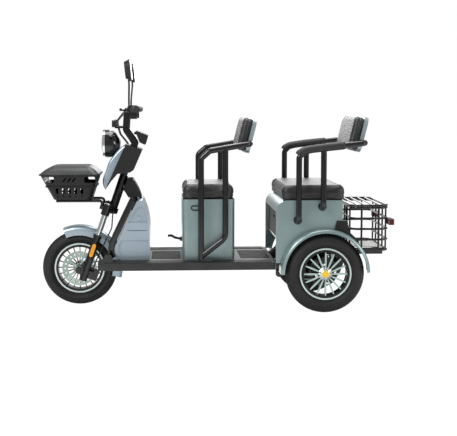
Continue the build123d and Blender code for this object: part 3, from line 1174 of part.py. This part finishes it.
with BuildPart() as tail_lamps:
    for side in SIDES:
        with Locations((CAGE_REAR_X - 1 + SEATED, side * 195, 485)):
            Box(27, 90, 32, align=(Align.MIN, Align.CENTER, Align.CENTER))
save(tail_lamps, "tail_lamps")

# ---------------------------------------------------------------- rear axle
REAR_AXLE = Vector(REAR_AXLE_X, 0, REAR_TYRE_RADIUS)
with BuildPart() as rear_axle:
    hub_face = REAR_WHEEL_Y - REAR_HUB_IN - MOVING
    drum(REAR_AXLE - (0, hub_face, 0), (0, 1, 0), 30, 2 * hub_face)
    drum(REAR_AXLE - (0, 60, 0), (0, 1, 0), 78, 120)
    drum(REAR_AXLE + (0, 60, 0), (0, 1, 0), 62, 90)
    for side in SIDES:
        drum(REAR_AXLE + (0, side * (hub_face - 22), 0), (0, side, 0), 80, 22)
        drum(REAR_AXLE + (0, side * hub_face, 0), (0, side, 0), REAR_AXLE_RADIUS,
             REAR_HUB_IN + MOVING - 1)
save(rear_axle, "rear_axle")

with BuildPart() as swing_arms:
    for side in SIDES:
        arm_y = side * (RAIL_HALF_SPREAD + RAIL_RADIUS + 10)
        with BuildSketch(side_plane(arm_y + 8)) as arm_cut:
            with Locations((PIVOT_X, PIVOT_Z)):
                Circle(20)
            with Locations((REAR_AXLE_X, REAR_TYRE_RADIUS)):
                Circle(42)
            make_hull()
            with Locations((PIVOT_X, PIVOT_Z)):
                Circle(PIVOT_RADIUS + RUNNING, mode=Mode.SUBTRACT)
            with Locations((REAR_AXLE_X, REAR_TYRE_RADIUS)):
                Circle(30 + RUNNING, mode=Mode.SUBTRACT)
        extrude(to_extrude=arm_cut.sketch, amount=16)
        drum((PIVOT_X, side * (RAIL_HALF_SPREAD - 16), PIVOT_Z), (0, side, 0), PIVOT_RADIUS, 54)
save(swing_arms, "swing_arms")
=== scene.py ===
"""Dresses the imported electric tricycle: finishes, tread, soft seats, wheel trim and the stage."""
import json
import math

import bpy
import numpy as np
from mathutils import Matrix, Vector


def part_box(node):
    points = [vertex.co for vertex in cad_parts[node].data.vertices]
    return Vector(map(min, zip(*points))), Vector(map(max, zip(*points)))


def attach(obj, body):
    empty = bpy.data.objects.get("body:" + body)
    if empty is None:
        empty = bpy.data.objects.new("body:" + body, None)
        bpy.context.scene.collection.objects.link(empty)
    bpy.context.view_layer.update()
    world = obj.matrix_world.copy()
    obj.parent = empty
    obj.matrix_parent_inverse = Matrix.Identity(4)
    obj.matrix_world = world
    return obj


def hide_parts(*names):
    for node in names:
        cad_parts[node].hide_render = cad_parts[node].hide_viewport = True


bl_info = {
    "name": "Electric tricycle dressing",
    "version": (1, 0, 0),
    "blender": (4, 5, 0),
    "location": "View3D > Sidebar > Tricycle",
    "description": "Finishes, tyres, seats and stage for the electric tricycle",
    "category": "Object",
}

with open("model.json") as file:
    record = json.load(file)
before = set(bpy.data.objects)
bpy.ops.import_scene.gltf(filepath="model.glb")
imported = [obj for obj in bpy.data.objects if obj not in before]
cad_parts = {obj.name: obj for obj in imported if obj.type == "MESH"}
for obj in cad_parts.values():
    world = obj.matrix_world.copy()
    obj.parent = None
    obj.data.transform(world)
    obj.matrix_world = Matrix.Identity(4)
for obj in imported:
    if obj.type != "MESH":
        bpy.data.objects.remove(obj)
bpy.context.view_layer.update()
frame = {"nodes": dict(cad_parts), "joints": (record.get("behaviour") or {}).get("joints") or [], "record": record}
NODES = frame["nodes"]
TURNS = {joint["name"]: Vector(joint["pos_m"]) for joint in frame["joints"]}


# ------------------------------------------------------------------ meshes
def grid_piece(name, points, wrap_rows=True, wrap_columns=True):
    """Makes a mesh from a grid of points: each cell is a quad between a row and the next.
    The faces are turned to point outwards when the enclosed volume comes out negative."""
    rows, columns = points.shape[:2]
    row = np.arange(rows if wrap_rows else rows - 1)[:, None]
    column = np.arange(columns if wrap_columns else columns - 1)[None, :]
    next_row = (row + 1) % rows
    next_column = (column + 1) % columns
    quads = np.stack([row * columns + column, next_row * columns + column,
                      next_row * columns + next_column, row * columns + next_column], axis=-1)
    quads = quads.reshape(-1, 4)
    flat = points.reshape(-1, 3)
    a, b, c, d = (flat[quads[:, k]] for k in range(4))
    volume = np.einsum("ij,ij->i", a, np.cross(b, c) + np.cross(c, d)).sum()
    if volume < 0:
        quads = quads[:, ::-1]
    mesh = bpy.data.meshes.new(name)
    mesh.from_pydata(flat, [], quads)
    mesh.shade_smooth()
    piece = bpy.data.objects.new(name, mesh)
    bpy.context.scene.collection.objects.link(piece)
    return piece


def turned_points(centre, across, radius, count):
    """A closed outline turned about the Y axis through a centre: at each angle the outline's
    radius becomes x and z, and its place across becomes y."""
    angle = np.linspace(0, 2 * np.pi, count, endpoint=False)[:, None]
    radius = np.broadcast_to(radius, (count, np.shape(radius)[-1]))
    x = centre[0] + radius * np.cos(angle)
    z = centre[2] + radius * np.sin(angle)
    y = centre[1] + np.broadcast_to(across, x.shape)
    return np.stack([x, y, z], axis=-1)


def tube_points(path, radius, sides=20):
    """A round tube along a path: at each point a circle stands square to the path's direction,
    in the plane of the Y axis and of the direction crossed with it."""
    ahead = np.gradient(path, axis=0)
    ahead /= np.linalg.norm(ahead, axis=1, keepdims=True)
    across = np.array([0.0, 1.0, 0.0]) - ahead * ahead[:, 1:2]
    across /= np.linalg.norm(across, axis=1, keepdims=True)
    up = np.cross(ahead, across)
    angle = np.linspace(0, 2 * np.pi, sides, endpoint=False)
    ring = across[:, None] * np.cos(angle)[:, None] + up[:, None] * np.sin(angle)[:, None]
    return path[:, None] + ring * np.asarray(radius).reshape(-1, 1, 1)


def dress(piece, body, slot, material, *replaced):
    """Puts a material on a piece, lets it ride on a body and hides the CAD parts that it replaces; the slot it is
    given is not used.
    """
    piece.data.materials.append(material)
    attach(piece, body)
    if replaced:
        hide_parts(*replaced)
    return piece


# ------------------------------------------------------------------ finishes
def link(tree, kind, **inputs):
    """Adds a shader node and sets or links its inputs by name."""
    node = tree.nodes.new(kind)
    for name, value in inputs.items():
        socket = node.inputs[name.replace("_", " ")]
        if isinstance(value, bpy.types.NodeSocket):
            tree.links.new(value, socket)
        else:
            socket.default_value = value
    return node


def ramp(tree, factor, stops, interpolation="LINEAR"):
    """A colour ramp over a factor, from a list of places and colours."""
    node = link(tree, "ShaderNodeValToRGB", Fac=factor)
    node.color_ramp.interpolation = interpolation
    while len(node.color_ramp.elements) < len(stops):
        node.color_ramp.elements.new(1)
    for element, (place, colour) in zip(node.color_ramp.elements, stops):
        element.position = place
        element.color = (*colour, 1)
    return node.outputs["Color"]


def start_finish(name, **settings):
    """A new material with a Principled shader: its tree, shader and Object coordinates."""
    material = bpy.data.materials.new(name)
    material.use_nodes = True
    tree = material.node_tree
    shader = tree.nodes["Principled BSDF"]
    for key, value in settings.items():
        shader.inputs[key.replace("_", " ")].default_value = value
    coordinates = tree.nodes.new("ShaderNodeTexCoord").outputs["Object"]
    return material, tree, shader, coordinates


def roughen(tree, shader, coordinates, scale, low, high, bump, grain="noise"):
    """Uneven roughness between two values, and a relief from noise or leather-like cells."""
    noise = link(tree, "ShaderNodeTexNoise", Vector=coordinates, Scale=scale, Detail=6.0)
    rough = link(tree, "ShaderNodeMapRange", Value=noise.outputs["Fac"], To_Min=low, To_Max=high)
    tree.links.new(rough.outputs["Result"], shader.inputs["Roughness"])
    height = noise.outputs["Fac"]
    if grain == "cells":
        cells = link(tree, "ShaderNodeTexVoronoi", Vector=coordinates, Scale=scale)
        height = cells.outputs["Distance"]
    relief = link(tree, "ShaderNodeBump", Height=height, Strength=bump, Distance=0.001)
    tree.links.new(relief.outputs["Normal"], shader.inputs["Normal"])


def mottled(name, dark, light, scale, low, high, bump, grain="noise", **settings):
    """A finish whose colour wanders between two close shades, with its own grain."""
    material, tree, shader, coordinates = start_finish(name, **settings)
    cloud = link(tree, "ShaderNodeTexNoise", Vector=coordinates, Scale=9.0, Detail=4.0)
    colour = ramp(tree, cloud.outputs["Fac"], [(0.3, dark), (0.7, light)])
    tree.links.new(colour, shader.inputs["Base Color"])
    roughen(tree, shader, coordinates, scale, low, high, bump, grain)
    return material


def zoned_rim(name, centre, spoke, hub):
    """A cast rim: hub, spokes, black barrel and bright lip, by the distance from the axle."""
    material, tree, shader, coordinates = start_finish(name, Metallic=0.85, Coat_Weight=0.3)
    shifted = link(tree, "ShaderNodeVectorMath", Vector=coordinates)
    shifted.operation = "SUBTRACT"
    shifted.inputs[1].default_value = centre
    flattened = link(tree, "ShaderNodeVectorMath", Vector=shifted.outputs[0])
    flattened.operation = "MULTIPLY"
    flattened.inputs[1].default_value = (1, 0, 1)
    distance = link(tree, "ShaderNodeVectorMath", Vector=flattened.outputs[0])
    distance.operation = "LENGTH"
    share = link(tree, "ShaderNodeMath", Value=distance.outputs["Value"])
    share.operation = "MULTIPLY"
    share.inputs[1].default_value = 1 / 0.15
    bright = (0.52, 0.6, 0.58)
    colour = ramp(tree, share.outputs[0], [(0, hub), (0.25, spoke), (0.785, (0.01, 0.01, 0.01)),
                                           (0.88, bright)], "CONSTANT")
    tree.links.new(colour, shader.inputs["Base Color"])
    roughen(tree, shader, coordinates, 400, 0.18, 0.36, 0.02)
    return material


def clear_finish(name, tint, transmission, rough):
    """A moulded lens: fine vertical flutes over a see-through tint."""
    material, tree, shader, coordinates = start_finish(name, Transmission_Weight=transmission, IOR=1.45)
    flutes = link(tree, "ShaderNodeTexWave", Vector=coordinates, Scale=60.0, Distortion=0.4)
    flutes.bands_direction = "Y"
    colour = ramp(tree, flutes.outputs["Fac"], [(0, tuple(v * 0.8 for v in tint)), (1, tint)])
    tree.links.new(colour, shader.inputs["Base Color"])
    roughen(tree, shader, coordinates, 200, rough, rough + 0.06, 0.05)
    return material


def make_finishes(colours):
    """Every finish of the tricycle, by the names of the record's material slots."""
    teal = np.array(colours.body)
    blue = np.array(colours.shield)
    front = TURNS["front_wheel_spin"]
    rear = TURNS["rear_wheel_left_spin"]
    paint = dict(Metallic=0.6, Coat_Weight=0.6, Coat_Roughness=0.06)
    return {
        "teal_grey": mottled("body paint", tuple(teal * 0.93), tuple(teal * 1.05), 700, 0.3, 0.42, 0.02, **paint),
        "silver_blue": mottled("shield paint", tuple(blue * 0.93), tuple(blue * 1.05), 700, 0.3, 0.42, 0.02, **paint),
        "silver_shell": mottled("backrest shell paint", (0.28, 0.335, 0.35), (0.33, 0.39, 0.405), 700, 0.28, 0.4,
                                0.02, **paint),
        "black_metal": mottled("black tube paint", (0.003, 0.003, 0.003), (0.006, 0.006, 0.006), 260, 0.14, 0.3,
                               0.03, Coat_Weight=0.35, Coat_Roughness=0.06, Specular_IOR_Level=0.35),
        "gloss_black": mottled("black lacquer", (0.003, 0.003, 0.003), (0.006, 0.006, 0.006), 300, 0.1, 0.2,
                               0.02, Coat_Weight=0.5, Specular_IOR_Level=0.35),
        "black_plastic": mottled("grained plastic", (0.006, 0.007, 0.006), (0.011, 0.012, 0.011), 900, 0.42, 0.6,
                                 0.18, "cells", Specular_IOR_Level=0.3),
        "deck_plastic": mottled("deck plastic", (0.014, 0.015, 0.015), (0.026, 0.027, 0.026), 600, 0.4, 0.62,
                                0.2, "cells", Specular_IOR_Level=0.4),
        "lid_grey": mottled("lid plastic", (0.022, 0.023, 0.023), (0.034, 0.036, 0.035), 500, 0.3, 0.46, 0.08),
        "seat_leather": mottled("seat vinyl", (0.007, 0.007, 0.007), (0.014, 0.014, 0.014), 520, 0.34, 0.5, 0.3,
                                "cells", Sheen_Weight=0.08, Specular_IOR_Level=0.5),
        "rubber_grip": mottled("grip rubber", (0.009, 0.009, 0.009), (0.017, 0.017, 0.017), 800, 0.45, 0.65, 0.25, "cells"),
        "cable_rubber": mottled("cable cover", (0.01, 0.01, 0.01), (0.018, 0.018, 0.018), 900, 0.4, 0.55, 0.1),
        "tyre": mottled("tyre rubber", (0.007, 0.007, 0.007), (0.014, 0.014, 0.014), 420, 0.5, 0.75, 0.16,
                        Specular_IOR_Level=0.35),
        "chrome": mottled("chrome", (0.62, 0.66, 0.64), (0.74, 0.78, 0.76), 240, 0.04, 0.12, 0.01, Metallic=1.0),
        "mirror": mottled("mirror", (0.7, 0.72, 0.72), (0.78, 0.8, 0.8), 90, 0.02, 0.05, 0.0, Metallic=1.0),
        "disc_steel": mottled("disc steel", (0.26, 0.34, 0.3), (0.42, 0.5, 0.45), 500, 0.22, 0.4, 0.06,
                              Metallic=0.9),
        "pale_plate": mottled("pale plate", (0.66, 0.66, 0.64), (0.74, 0.74, 0.72), 300, 0.3, 0.5, 0.03),
        "battery_case": mottled("battery case", (0.02, 0.02, 0.02), (0.03, 0.03, 0.03), 600, 0.5, 0.7, 0.15),
        "amber": clear_finish("amber lens", (0.9, 0.36, 0.01), 0.1, 0.18),
        "red_lens": clear_finish("red lens", (0.10, 0.006, 0.008), 0.1, 0.15),
        "lens": clear_finish("clear lens", (0.75, 0.85, 0.8), 0.6, 0.05),
        "front_rim": zoned_rim("front rim", front, (0.012, 0.012, 0.012), (0.03, 0.03, 0.03)),
        "rear_rim": zoned_rim("rear rim", rear, (0.4, 0.52, 0.48), (0.6, 0.64, 0.62)),
        "cap_yellow": mottled("cap yellow", (0.78, 0.5, 0.01), (0.86, 0.57, 0.02), 300, 0.25, 0.4, 0.04),
    }


# ------------------------------------------------------------------ tyres
def tyre_outline(radius, width):
    """Half a tyre's cut, mirrored: a flat arc across the tread, then a side wall whose width
    follows a parabola through its shoulder, its widest place and its bead."""
    edge, shoulder, lip, bead = 0.45 * width, radius - 0.33 * width, 0.149, 0.31 * width
    rise = radius - shoulder
    arc = (edge ** 2 + rise ** 2) / (2 * rise)
    y_tread = np.linspace(0, edge, 26)
    r_tread = radius - arc + np.sqrt(arc ** 2 - y_tread ** 2)
    t = np.linspace(0, 1, 12)[1:]
    r_wall = shoulder + (lip - shoulder) * t
    y_wall = edge * (1 - t) * (1 - 2 * t) + 2 * width * t * (1 - t) + bead * t * (2 * t - 1)
    y = np.concatenate([y_tread, y_wall, [bead, 0.5 * bead]])
    r = np.concatenate([r_tread, r_wall, [0.1274, 0.1274]])
    return np.concatenate([y, -y[:0:-1]]), np.concatenate([r, r[:0:-1]])


def tread_points(centre, radius, width, depth, blocks):
    """The turned outline with grooves: two run round the tyre, and slanted ones, set half a
    step apart on the two sides, cut it into blocks. Each is a smooth well in the radius."""
    y, r = tyre_outline(radius, width)
    count = 720
    angle = np.linspace(0, 2 * np.pi, count, endpoint=False)[:, None]
    side = np.sign(y) * 0.5 * np.pi
    slant = np.cos(angle * blocks + side + np.abs(y) / width * 5.0)
    across = np.clip((slant - 0.72) / 0.12, 0, 1) * (np.abs(y) > 0.1 * width)
    round_groove = np.exp(-((np.abs(y) - 0.1 * width) / 0.0022) ** 2)[None, :]
    on_tread = np.clip((r - (radius - 0.34 * width)) / 0.006, 0, 1)
    cut = depth * np.maximum(across, round_groove) * on_tread
    rib = 0.0006 * np.exp(-((r - (radius - 0.46 * width)) / 0.0012) ** 2)
    return turned_points(centre, y[None, :] + np.sign(y) * rib, r[None, :] - cut, count)


# ------------------------------------------------------------------ soft pieces
def swell(piece, pressure, cap):
    """Fills a closed skin with air for twenty frames and keeps the moved points, none further
    from its start than a cap."""
    scene = bpy.context.scene
    mesh = piece.data
    count = len(mesh.vertices)
    start = np.empty(count * 3)
    mesh.vertices.foreach_get("co", start)
    cloth = piece.modifiers.new("fill", "CLOTH")
    cloth.settings.use_pressure = True
    cloth.settings.uniform_pressure_force = pressure
    cloth.settings.effector_weights.gravity = 0
    cloth.settings.quality = 4
    cloth.point_cache.frame_start = 1
    cloth.point_cache.frame_end = 20
    for step in range(1, 21):
        scene.frame_set(step)
    shaped = piece.evaluated_get(bpy.context.evaluated_depsgraph_get()).to_mesh()
    end = np.empty(count * 3)
    shaped.vertices.foreach_get("co", end)
    piece.modifiers.remove(cloth)
    scene.frame_set(1)
    move = (end - start).reshape(-1, 3)
    length = np.linalg.norm(move, axis=1, keepdims=True)
    move *= np.minimum(1, cap / np.maximum(length, 1e-9))
    mesh.vertices.foreach_set("co", (start.reshape(-1, 3) + move).ravel())
    mesh.update()


def apply_modifiers(piece):
    """Bakes a piece's modifiers into its mesh."""
    shaped = piece.evaluated_get(bpy.context.evaluated_depsgraph_get())
    mesh = bpy.data.meshes.new_from_object(shaped)
    piece.modifiers.clear()
    piece.data = mesh
    mesh.shade_smooth()


def soft_copy(node, name, shrink, cap, up, seam):
    """A pad from a CAD solid: turned so that its way up is Z, its skin is drawn in a little,
    remeshed, swollen, smoothed and subdivided, kept inside its solid's height, drawn in along
    a seam at a share of that height, and turned back."""
    mesh = NODES[node].data.copy()
    turn = up.rotation_difference(Vector((0, 0, 1))).to_matrix().to_4x4()
    mesh.transform(turn)
    piece = bpy.data.objects.new(name, mesh)
    bpy.context.scene.collection.objects.link(piece)
    weld = piece.modifiers.new("weld", "WELD")
    weld.merge_threshold = 0.0001
    remesh = piece.modifiers.new("skin", "REMESH")
    remesh.mode = "VOXEL"
    remesh.voxel_size = 0.006
    even = piece.modifiers.new("even", "SMOOTH")
    even.factor = 0.5
    even.iterations = 6
    apply_modifiers(piece)
    mesh = piece.data
    points = np.empty(len(mesh.vertices) * 3)
    mesh.vertices.foreach_get("co", points)
    points = points.reshape(-1, 3)
    centre = (points.min(0) + points.max(0)) / 2
    low, high = points[:, 2].min(), points[:, 2].max()
    mesh.vertices.foreach_set("co", (centre + (points - centre) * (1 - shrink)).ravel())
    swell(piece, 4.0, cap)
    calm = piece.modifiers.new("calm", "SMOOTH")
    calm.factor = 0.5
    calm.iterations = 25
    piece.modifiers.new("finer", "SUBSURF").levels = 1
    piece.modifiers["finer"].render_levels = 1
    apply_modifiers(piece)
    mesh = piece.data
    points = np.empty(len(mesh.vertices) * 3)
    normals = np.empty(len(mesh.vertices) * 3)
    mesh.vertices.foreach_get("co", points)
    mesh.vertex_normals.foreach_get("vector", normals)
    points, normals = points.reshape(-1, 3), normals.reshape(-1, 3)
    points[:, 2] = np.clip(points[:, 2], low, high + 0.006)
    groove = np.exp(-((points[:, 2] - low - seam * (high - low)) / 0.0045) ** 2)
    flat = 1 - np.abs(normals[:, 2])
    points -= normals * (0.0028 * groove * flat)[:, None]
    mesh.vertices.foreach_set("co", points.ravel())
    mesh.transform(turn.inverted())
    mesh.update()
    return piece


# ------------------------------------------------------------------ properties
class TrikeColours(bpy.types.PropertyGroup):
    """The colours of the painted panels."""
    body: bpy.props.FloatVectorProperty(name="Body", description="Paint of the rear body and seat box",
                                        default=(0.235, 0.315, 0.315), size=3, subtype="COLOR", min=0, max=1)
    shield: bpy.props.FloatVectorProperty(name="Shield", description="Paint of the shield, fairing and fender",
                                          default=(0.325, 0.40, 0.455), size=3, subtype="COLOR", min=0, max=1)


class TrikeSizes(bpy.types.PropertyGroup):
    """The sizes of the tread and of the soft pieces."""
    tread_depth: bpy.props.FloatProperty(name="Tread depth", description="Depth of the tyres' grooves",
                                         default=0.0028, unit="LENGTH")
    tread_blocks: bpy.props.IntProperty(name="Tread blocks", description="Slanted grooves round a tyre",
                                        default=64)
    arm_pad: bpy.props.FloatProperty(name="Arm pad", description="Radius of the foam sleeve on an armrest",
                                     default=0.0215, unit="LENGTH")
    seat_rise: bpy.props.FloatProperty(name="Seat swell", description="Furthest that a seat's cover bulges",
                                       default=0.022, unit="LENGTH")


class TRIKE_OT_finishes(bpy.types.Operator):
    """Puts a finish on every rigid piece"""
    bl_idname = "trike.finishes"
    bl_label = "Finish rigid pieces"

    def execute(self, context):
        FINISHES.update(make_finishes(context.scene.trike_colours))
        for part in frame["record"]["subparts"]:
            mesh = NODES[part["node"]].data
            mesh.materials.clear()
            mesh.materials.append(FINISHES[part["material_slot"]])
        return {"FINISHED"}


class TRIKE_OT_tyres(bpy.types.Operator):
    """Adds the three tyres with their tread"""
    bl_idname = "trike.tyres"
    bl_label = "Add tyres"

    def execute(self, context):
        sizes = context.scene.trike_sizes
        for node, body in (("front_tyre", "front_wheel"), ("rear_tyre_left", "rear_wheel_left"),
                           ("rear_tyre_right", "rear_wheel_right")):
            low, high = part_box(node)
            centre = (Vector(low) + Vector(high)) / 2
            radius, width = (high[2] - low[2]) / 2, 0.08 if body == "front_wheel" else 0.09
            points = tread_points(centre, radius, width, sizes.tread_depth, sizes.tread_blocks)
            piece = grid_piece(node + "_tread", points)
            dress(piece, body, "tyre", FINISHES["tyre"], node)
        return {"FINISHED"}


class TRIKE_OT_seats(bpy.types.Operator):
    """Adds the two seat cushions and the two backrest pads"""
    bl_idname = "trike.seats"
    bl_label = "Add seats"

    def execute(self, context):
        rise = context.scene.trike_sizes.seat_rise
        tilt = math.radians(14)
        upright = Vector((0, 0, 1))
        leaning = Vector((-math.cos(tilt), 0, math.sin(tilt)))
        for node, body, up, cap, seam in (("driver_cushion", "driver_seat", upright, rise, 0.36),
                                          ("rear_cushion", "frame", upright, rise, 0.36),
                                          ("driver_back_pad", "frame", leaning, 0.008, 0.5),
                                          ("rear_back_pad", "frame", leaning, 0.008, 0.5)):
            piece = soft_copy(node, node + "_cover", 0.004, cap, up, seam)
            dress(piece, body, "seat_leather", FINISHES["seat_leather"], node)
        return {"FINISHED"}


class TRIKE_OT_arm_pads(bpy.types.Operator):
    """Adds the foam sleeves on the rear armrests"""
    bl_idname = "trike.arm_pads"
    bl_label = "Add arm pads"

    def execute(self, context):
        radius = context.scene.trike_sizes.arm_pad
        for side, hand in ((-1, "left"), (1, "right")):
            t = np.linspace(0, 1, 80)
            corner = np.array([[0.4375, 0.862], [0.442, 0.886], [0.482, 0.892], [0.690, 0.912]])
            knots = np.stack([corner[:, 0], np.full(4, side * 0.33), corner[:, 1]], axis=1)
            weight = np.stack([(1 - t) ** 3, 3 * t * (1 - t) ** 2, 3 * t * t * (1 - t), t ** 3], axis=1)
            path = weight @ knots
            swell_share = 1 + 0.05 * np.sin(2 * np.pi * 3 * t) * (1 - t)
            girth = radius * swell_share * np.clip(np.minimum(t, 1 - t) / 0.02, 0.02, 1) ** 0.35
            piece = grid_piece(f"arm_pad_{hand}", tube_points(path, girth, 28), wrap_rows=False)
            dress(piece, "frame", "rubber_grip", FINISHES["rubber_grip"])
        return {"FINISHED"}


class TRIKE_OT_wheel_trim(bpy.types.Operator):
    """Adds the rear wheels' caps and nuts and the front disc's bolts"""
    bl_idname = "trike.wheel_trim"
    bl_label = "Add wheel trim"

    def execute(self, context):
        t = np.linspace(0, 1, 12)
        for side, hand in ((-1, "left"), (1, "right")):
            body = f"rear_wheel_{hand}"
            centre = np.array(TURNS[f"{body}_spin"])
            face = centre + [0, side * 0.0342, 0]
            dome = np.concatenate([[0.0002], 0.0195 * np.sin(t[1:] * np.pi / 2), [0.0195]])
            lift = np.concatenate([[0.004], 0.004 * np.cos(t[1:] * np.pi / 2), [0.0]])
            cap = grid_piece(f"hub_cap_{hand}", turned_points(face, side * lift, dome, 64), wrap_columns=False)
            dress(cap, body, "rear_rim", FINISHES["cap_yellow"])
            nut_radius = np.array([0.0002, 0.006, 0.008, 0.008])
            nut_lift = np.array([0.01, 0.01, 0.007, -0.012])
            for index in range(4):
                angle = math.radians(11 + 90 * index)
                place = centre + np.array([math.cos(angle), 0, math.sin(angle)]) * 0.052
                place[1] += side * 0.0245
                nut = grid_piece(f"wheel_nut_{hand}_{index}", turned_points(place, side * nut_lift, nut_radius, 6),
                                 wrap_columns=False)
                dress(nut, body, "chrome", FINISHES["chrome"])
        centre = np.array(TURNS["front_wheel_spin"])
        for index in range(5):
            angle = 2 * math.pi * index / 5
            place = centre + np.array([math.cos(angle), 0, math.sin(angle)]) * 0.024
            place[1] -= 0.0423
            bolt = grid_piece(f"disc_bolt_{index}", turned_points(place, -np.array([0.004, 0.004, 0.0]),
                                                                  np.array([0.0002, 0.004, 0.004]), 6),
                              wrap_columns=False)
            dress(bolt, "front_wheel", "chrome", FINISHES["chrome"])
        return {"FINISHED"}


class TRIKE_OT_stage(bpy.types.Operator):
    """Adds the floor, the lights and the camera"""
    bl_idname = "trike.stage"
    bl_label = "Add stage"

    def execute(self, context):
        scene = context.scene
        floor_points = np.array([[[-30, -30, 0], [30, -30, 0]], [[-30, 30, 0], [30, 30, 0]]], dtype=float)
        floor_points[..., 2] = -0.0005
        floor = grid_piece("floor", floor_points, False, False)
        material, tree, shader, coordinates = start_finish("floor white", Roughness=0.9)
        shader.inputs["Base Color"].default_value = (0.9, 0.9, 0.9, 1)
        rays = tree.nodes.new("ShaderNodeLightPath").outputs["Is Camera Ray"]
        glow = link(tree, "ShaderNodeEmission", Strength=1.06)
        share = link(tree, "ShaderNodeMath", Value=rays)
        share.operation = "MULTIPLY"
        share.inputs[1].default_value = 0.93
        mix = link(tree, "ShaderNodeMixShader", Fac=share.outputs[0])
        tree.links.new(shader.outputs[0], mix.inputs[1])
        tree.links.new(glow.outputs[0], mix.inputs[2])
        tree.links.new(mix.outputs[0], tree.nodes["Material Output"].inputs["Surface"])
        floor.data.materials.append(material)
        world = bpy.data.worlds.new("studio")
        scene.world = world
        world.use_nodes = True
        tree = world.node_tree
        seen = tree.nodes.new("ShaderNodeLightPath")
        either = link(tree, "ShaderNodeMath", Value=seen.outputs["Is Camera Ray"])
        either.operation = "MAXIMUM"
        tree.links.new(seen.outputs["Is Transmission Ray"], either.inputs[1])
        strength = link(tree, "ShaderNodeMapRange", Value=either.outputs[0], To_Min=0.42, To_Max=1.0)
        tree.links.new(strength.outputs["Result"], tree.nodes["Background"].inputs["Strength"])
        tree.nodes["Background"].inputs["Color"].default_value = (1, 1, 1, 1)
        for name, place, size, power in (("key", (-2.2, -2.4, 2.8), 1.6, 95), ("side", (3.2, -1.8, 1.4), 1.2, 30),
                                         ("top", (0.2, 0.3, 3.2), 2.2, 85), ("back", (0.4, 3.0, 2.0), 2.0, 45)):
            lamp = bpy.data.lights.new(name, "AREA")
            lamp.energy = power
            lamp.size = size
            light = bpy.data.objects.new(name, lamp)
            light.location = place
            light.rotation_euler = (Vector((0, 0, 0.6)) - Vector(place)).to_track_quat("-Z", "Y").to_euler()
            scene.collection.objects.link(light)
        camera = bpy.data.objects.new("camera", bpy.data.cameras.new("camera"))
        scene.collection.objects.link(camera)
        camera.location = (-0.270, -5.5, 1.126)
        camera.rotation_euler = (math.radians(90 - 4.8), 0, math.radians(-2.94))
        camera.data.lens = 76.6
        camera.data.sensor_width = 36
        camera.data.shift_x = 0.025
        camera.data.shift_y = -0.068
        scene.camera = camera
        scene.view_settings.view_transform = "Standard"
        return {"FINISHED"}


class TRIKE_PT_panel(bpy.types.Panel):
    """Lists the tricycle's sizes, colours and steps"""
    bl_label = "Tricycle"
    bl_idname = "TRIKE_PT_panel"
    bl_space_type = "VIEW_3D"
    bl_region_type = "UI"
    bl_category = "Tricycle"

    def draw(self, context):
        for group in (context.scene.trike_colours, context.scene.trike_sizes):
            for name in group.__annotations__:
                self.layout.prop(group, name)
        for step in STEPS:
            self.layout.operator(step.bl_idname)


FINISHES = {}
STEPS = (TRIKE_OT_stage, TRIKE_OT_finishes, TRIKE_OT_tyres, TRIKE_OT_seats, TRIKE_OT_arm_pads,
         TRIKE_OT_wheel_trim)
CLASSES = (TrikeColours, TrikeSizes, *STEPS, TRIKE_PT_panel)


def register():
    for item in CLASSES:
        bpy.utils.register_class(item)
    bpy.types.Scene.trike_colours = bpy.props.PointerProperty(type=TrikeColours)
    bpy.types.Scene.trike_sizes = bpy.props.PointerProperty(type=TrikeSizes)


def unregister():
    del bpy.types.Scene.trike_sizes
    del bpy.types.Scene.trike_colours
    for item in reversed(CLASSES):
        bpy.utils.unregister_class(item)


def main():
    """Registers the add-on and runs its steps."""
    register()
    for step in STEPS:
        group, name = step.bl_idname.split(".")
        getattr(getattr(bpy.ops, group), name)()


if __name__ == "__main__":
    main()
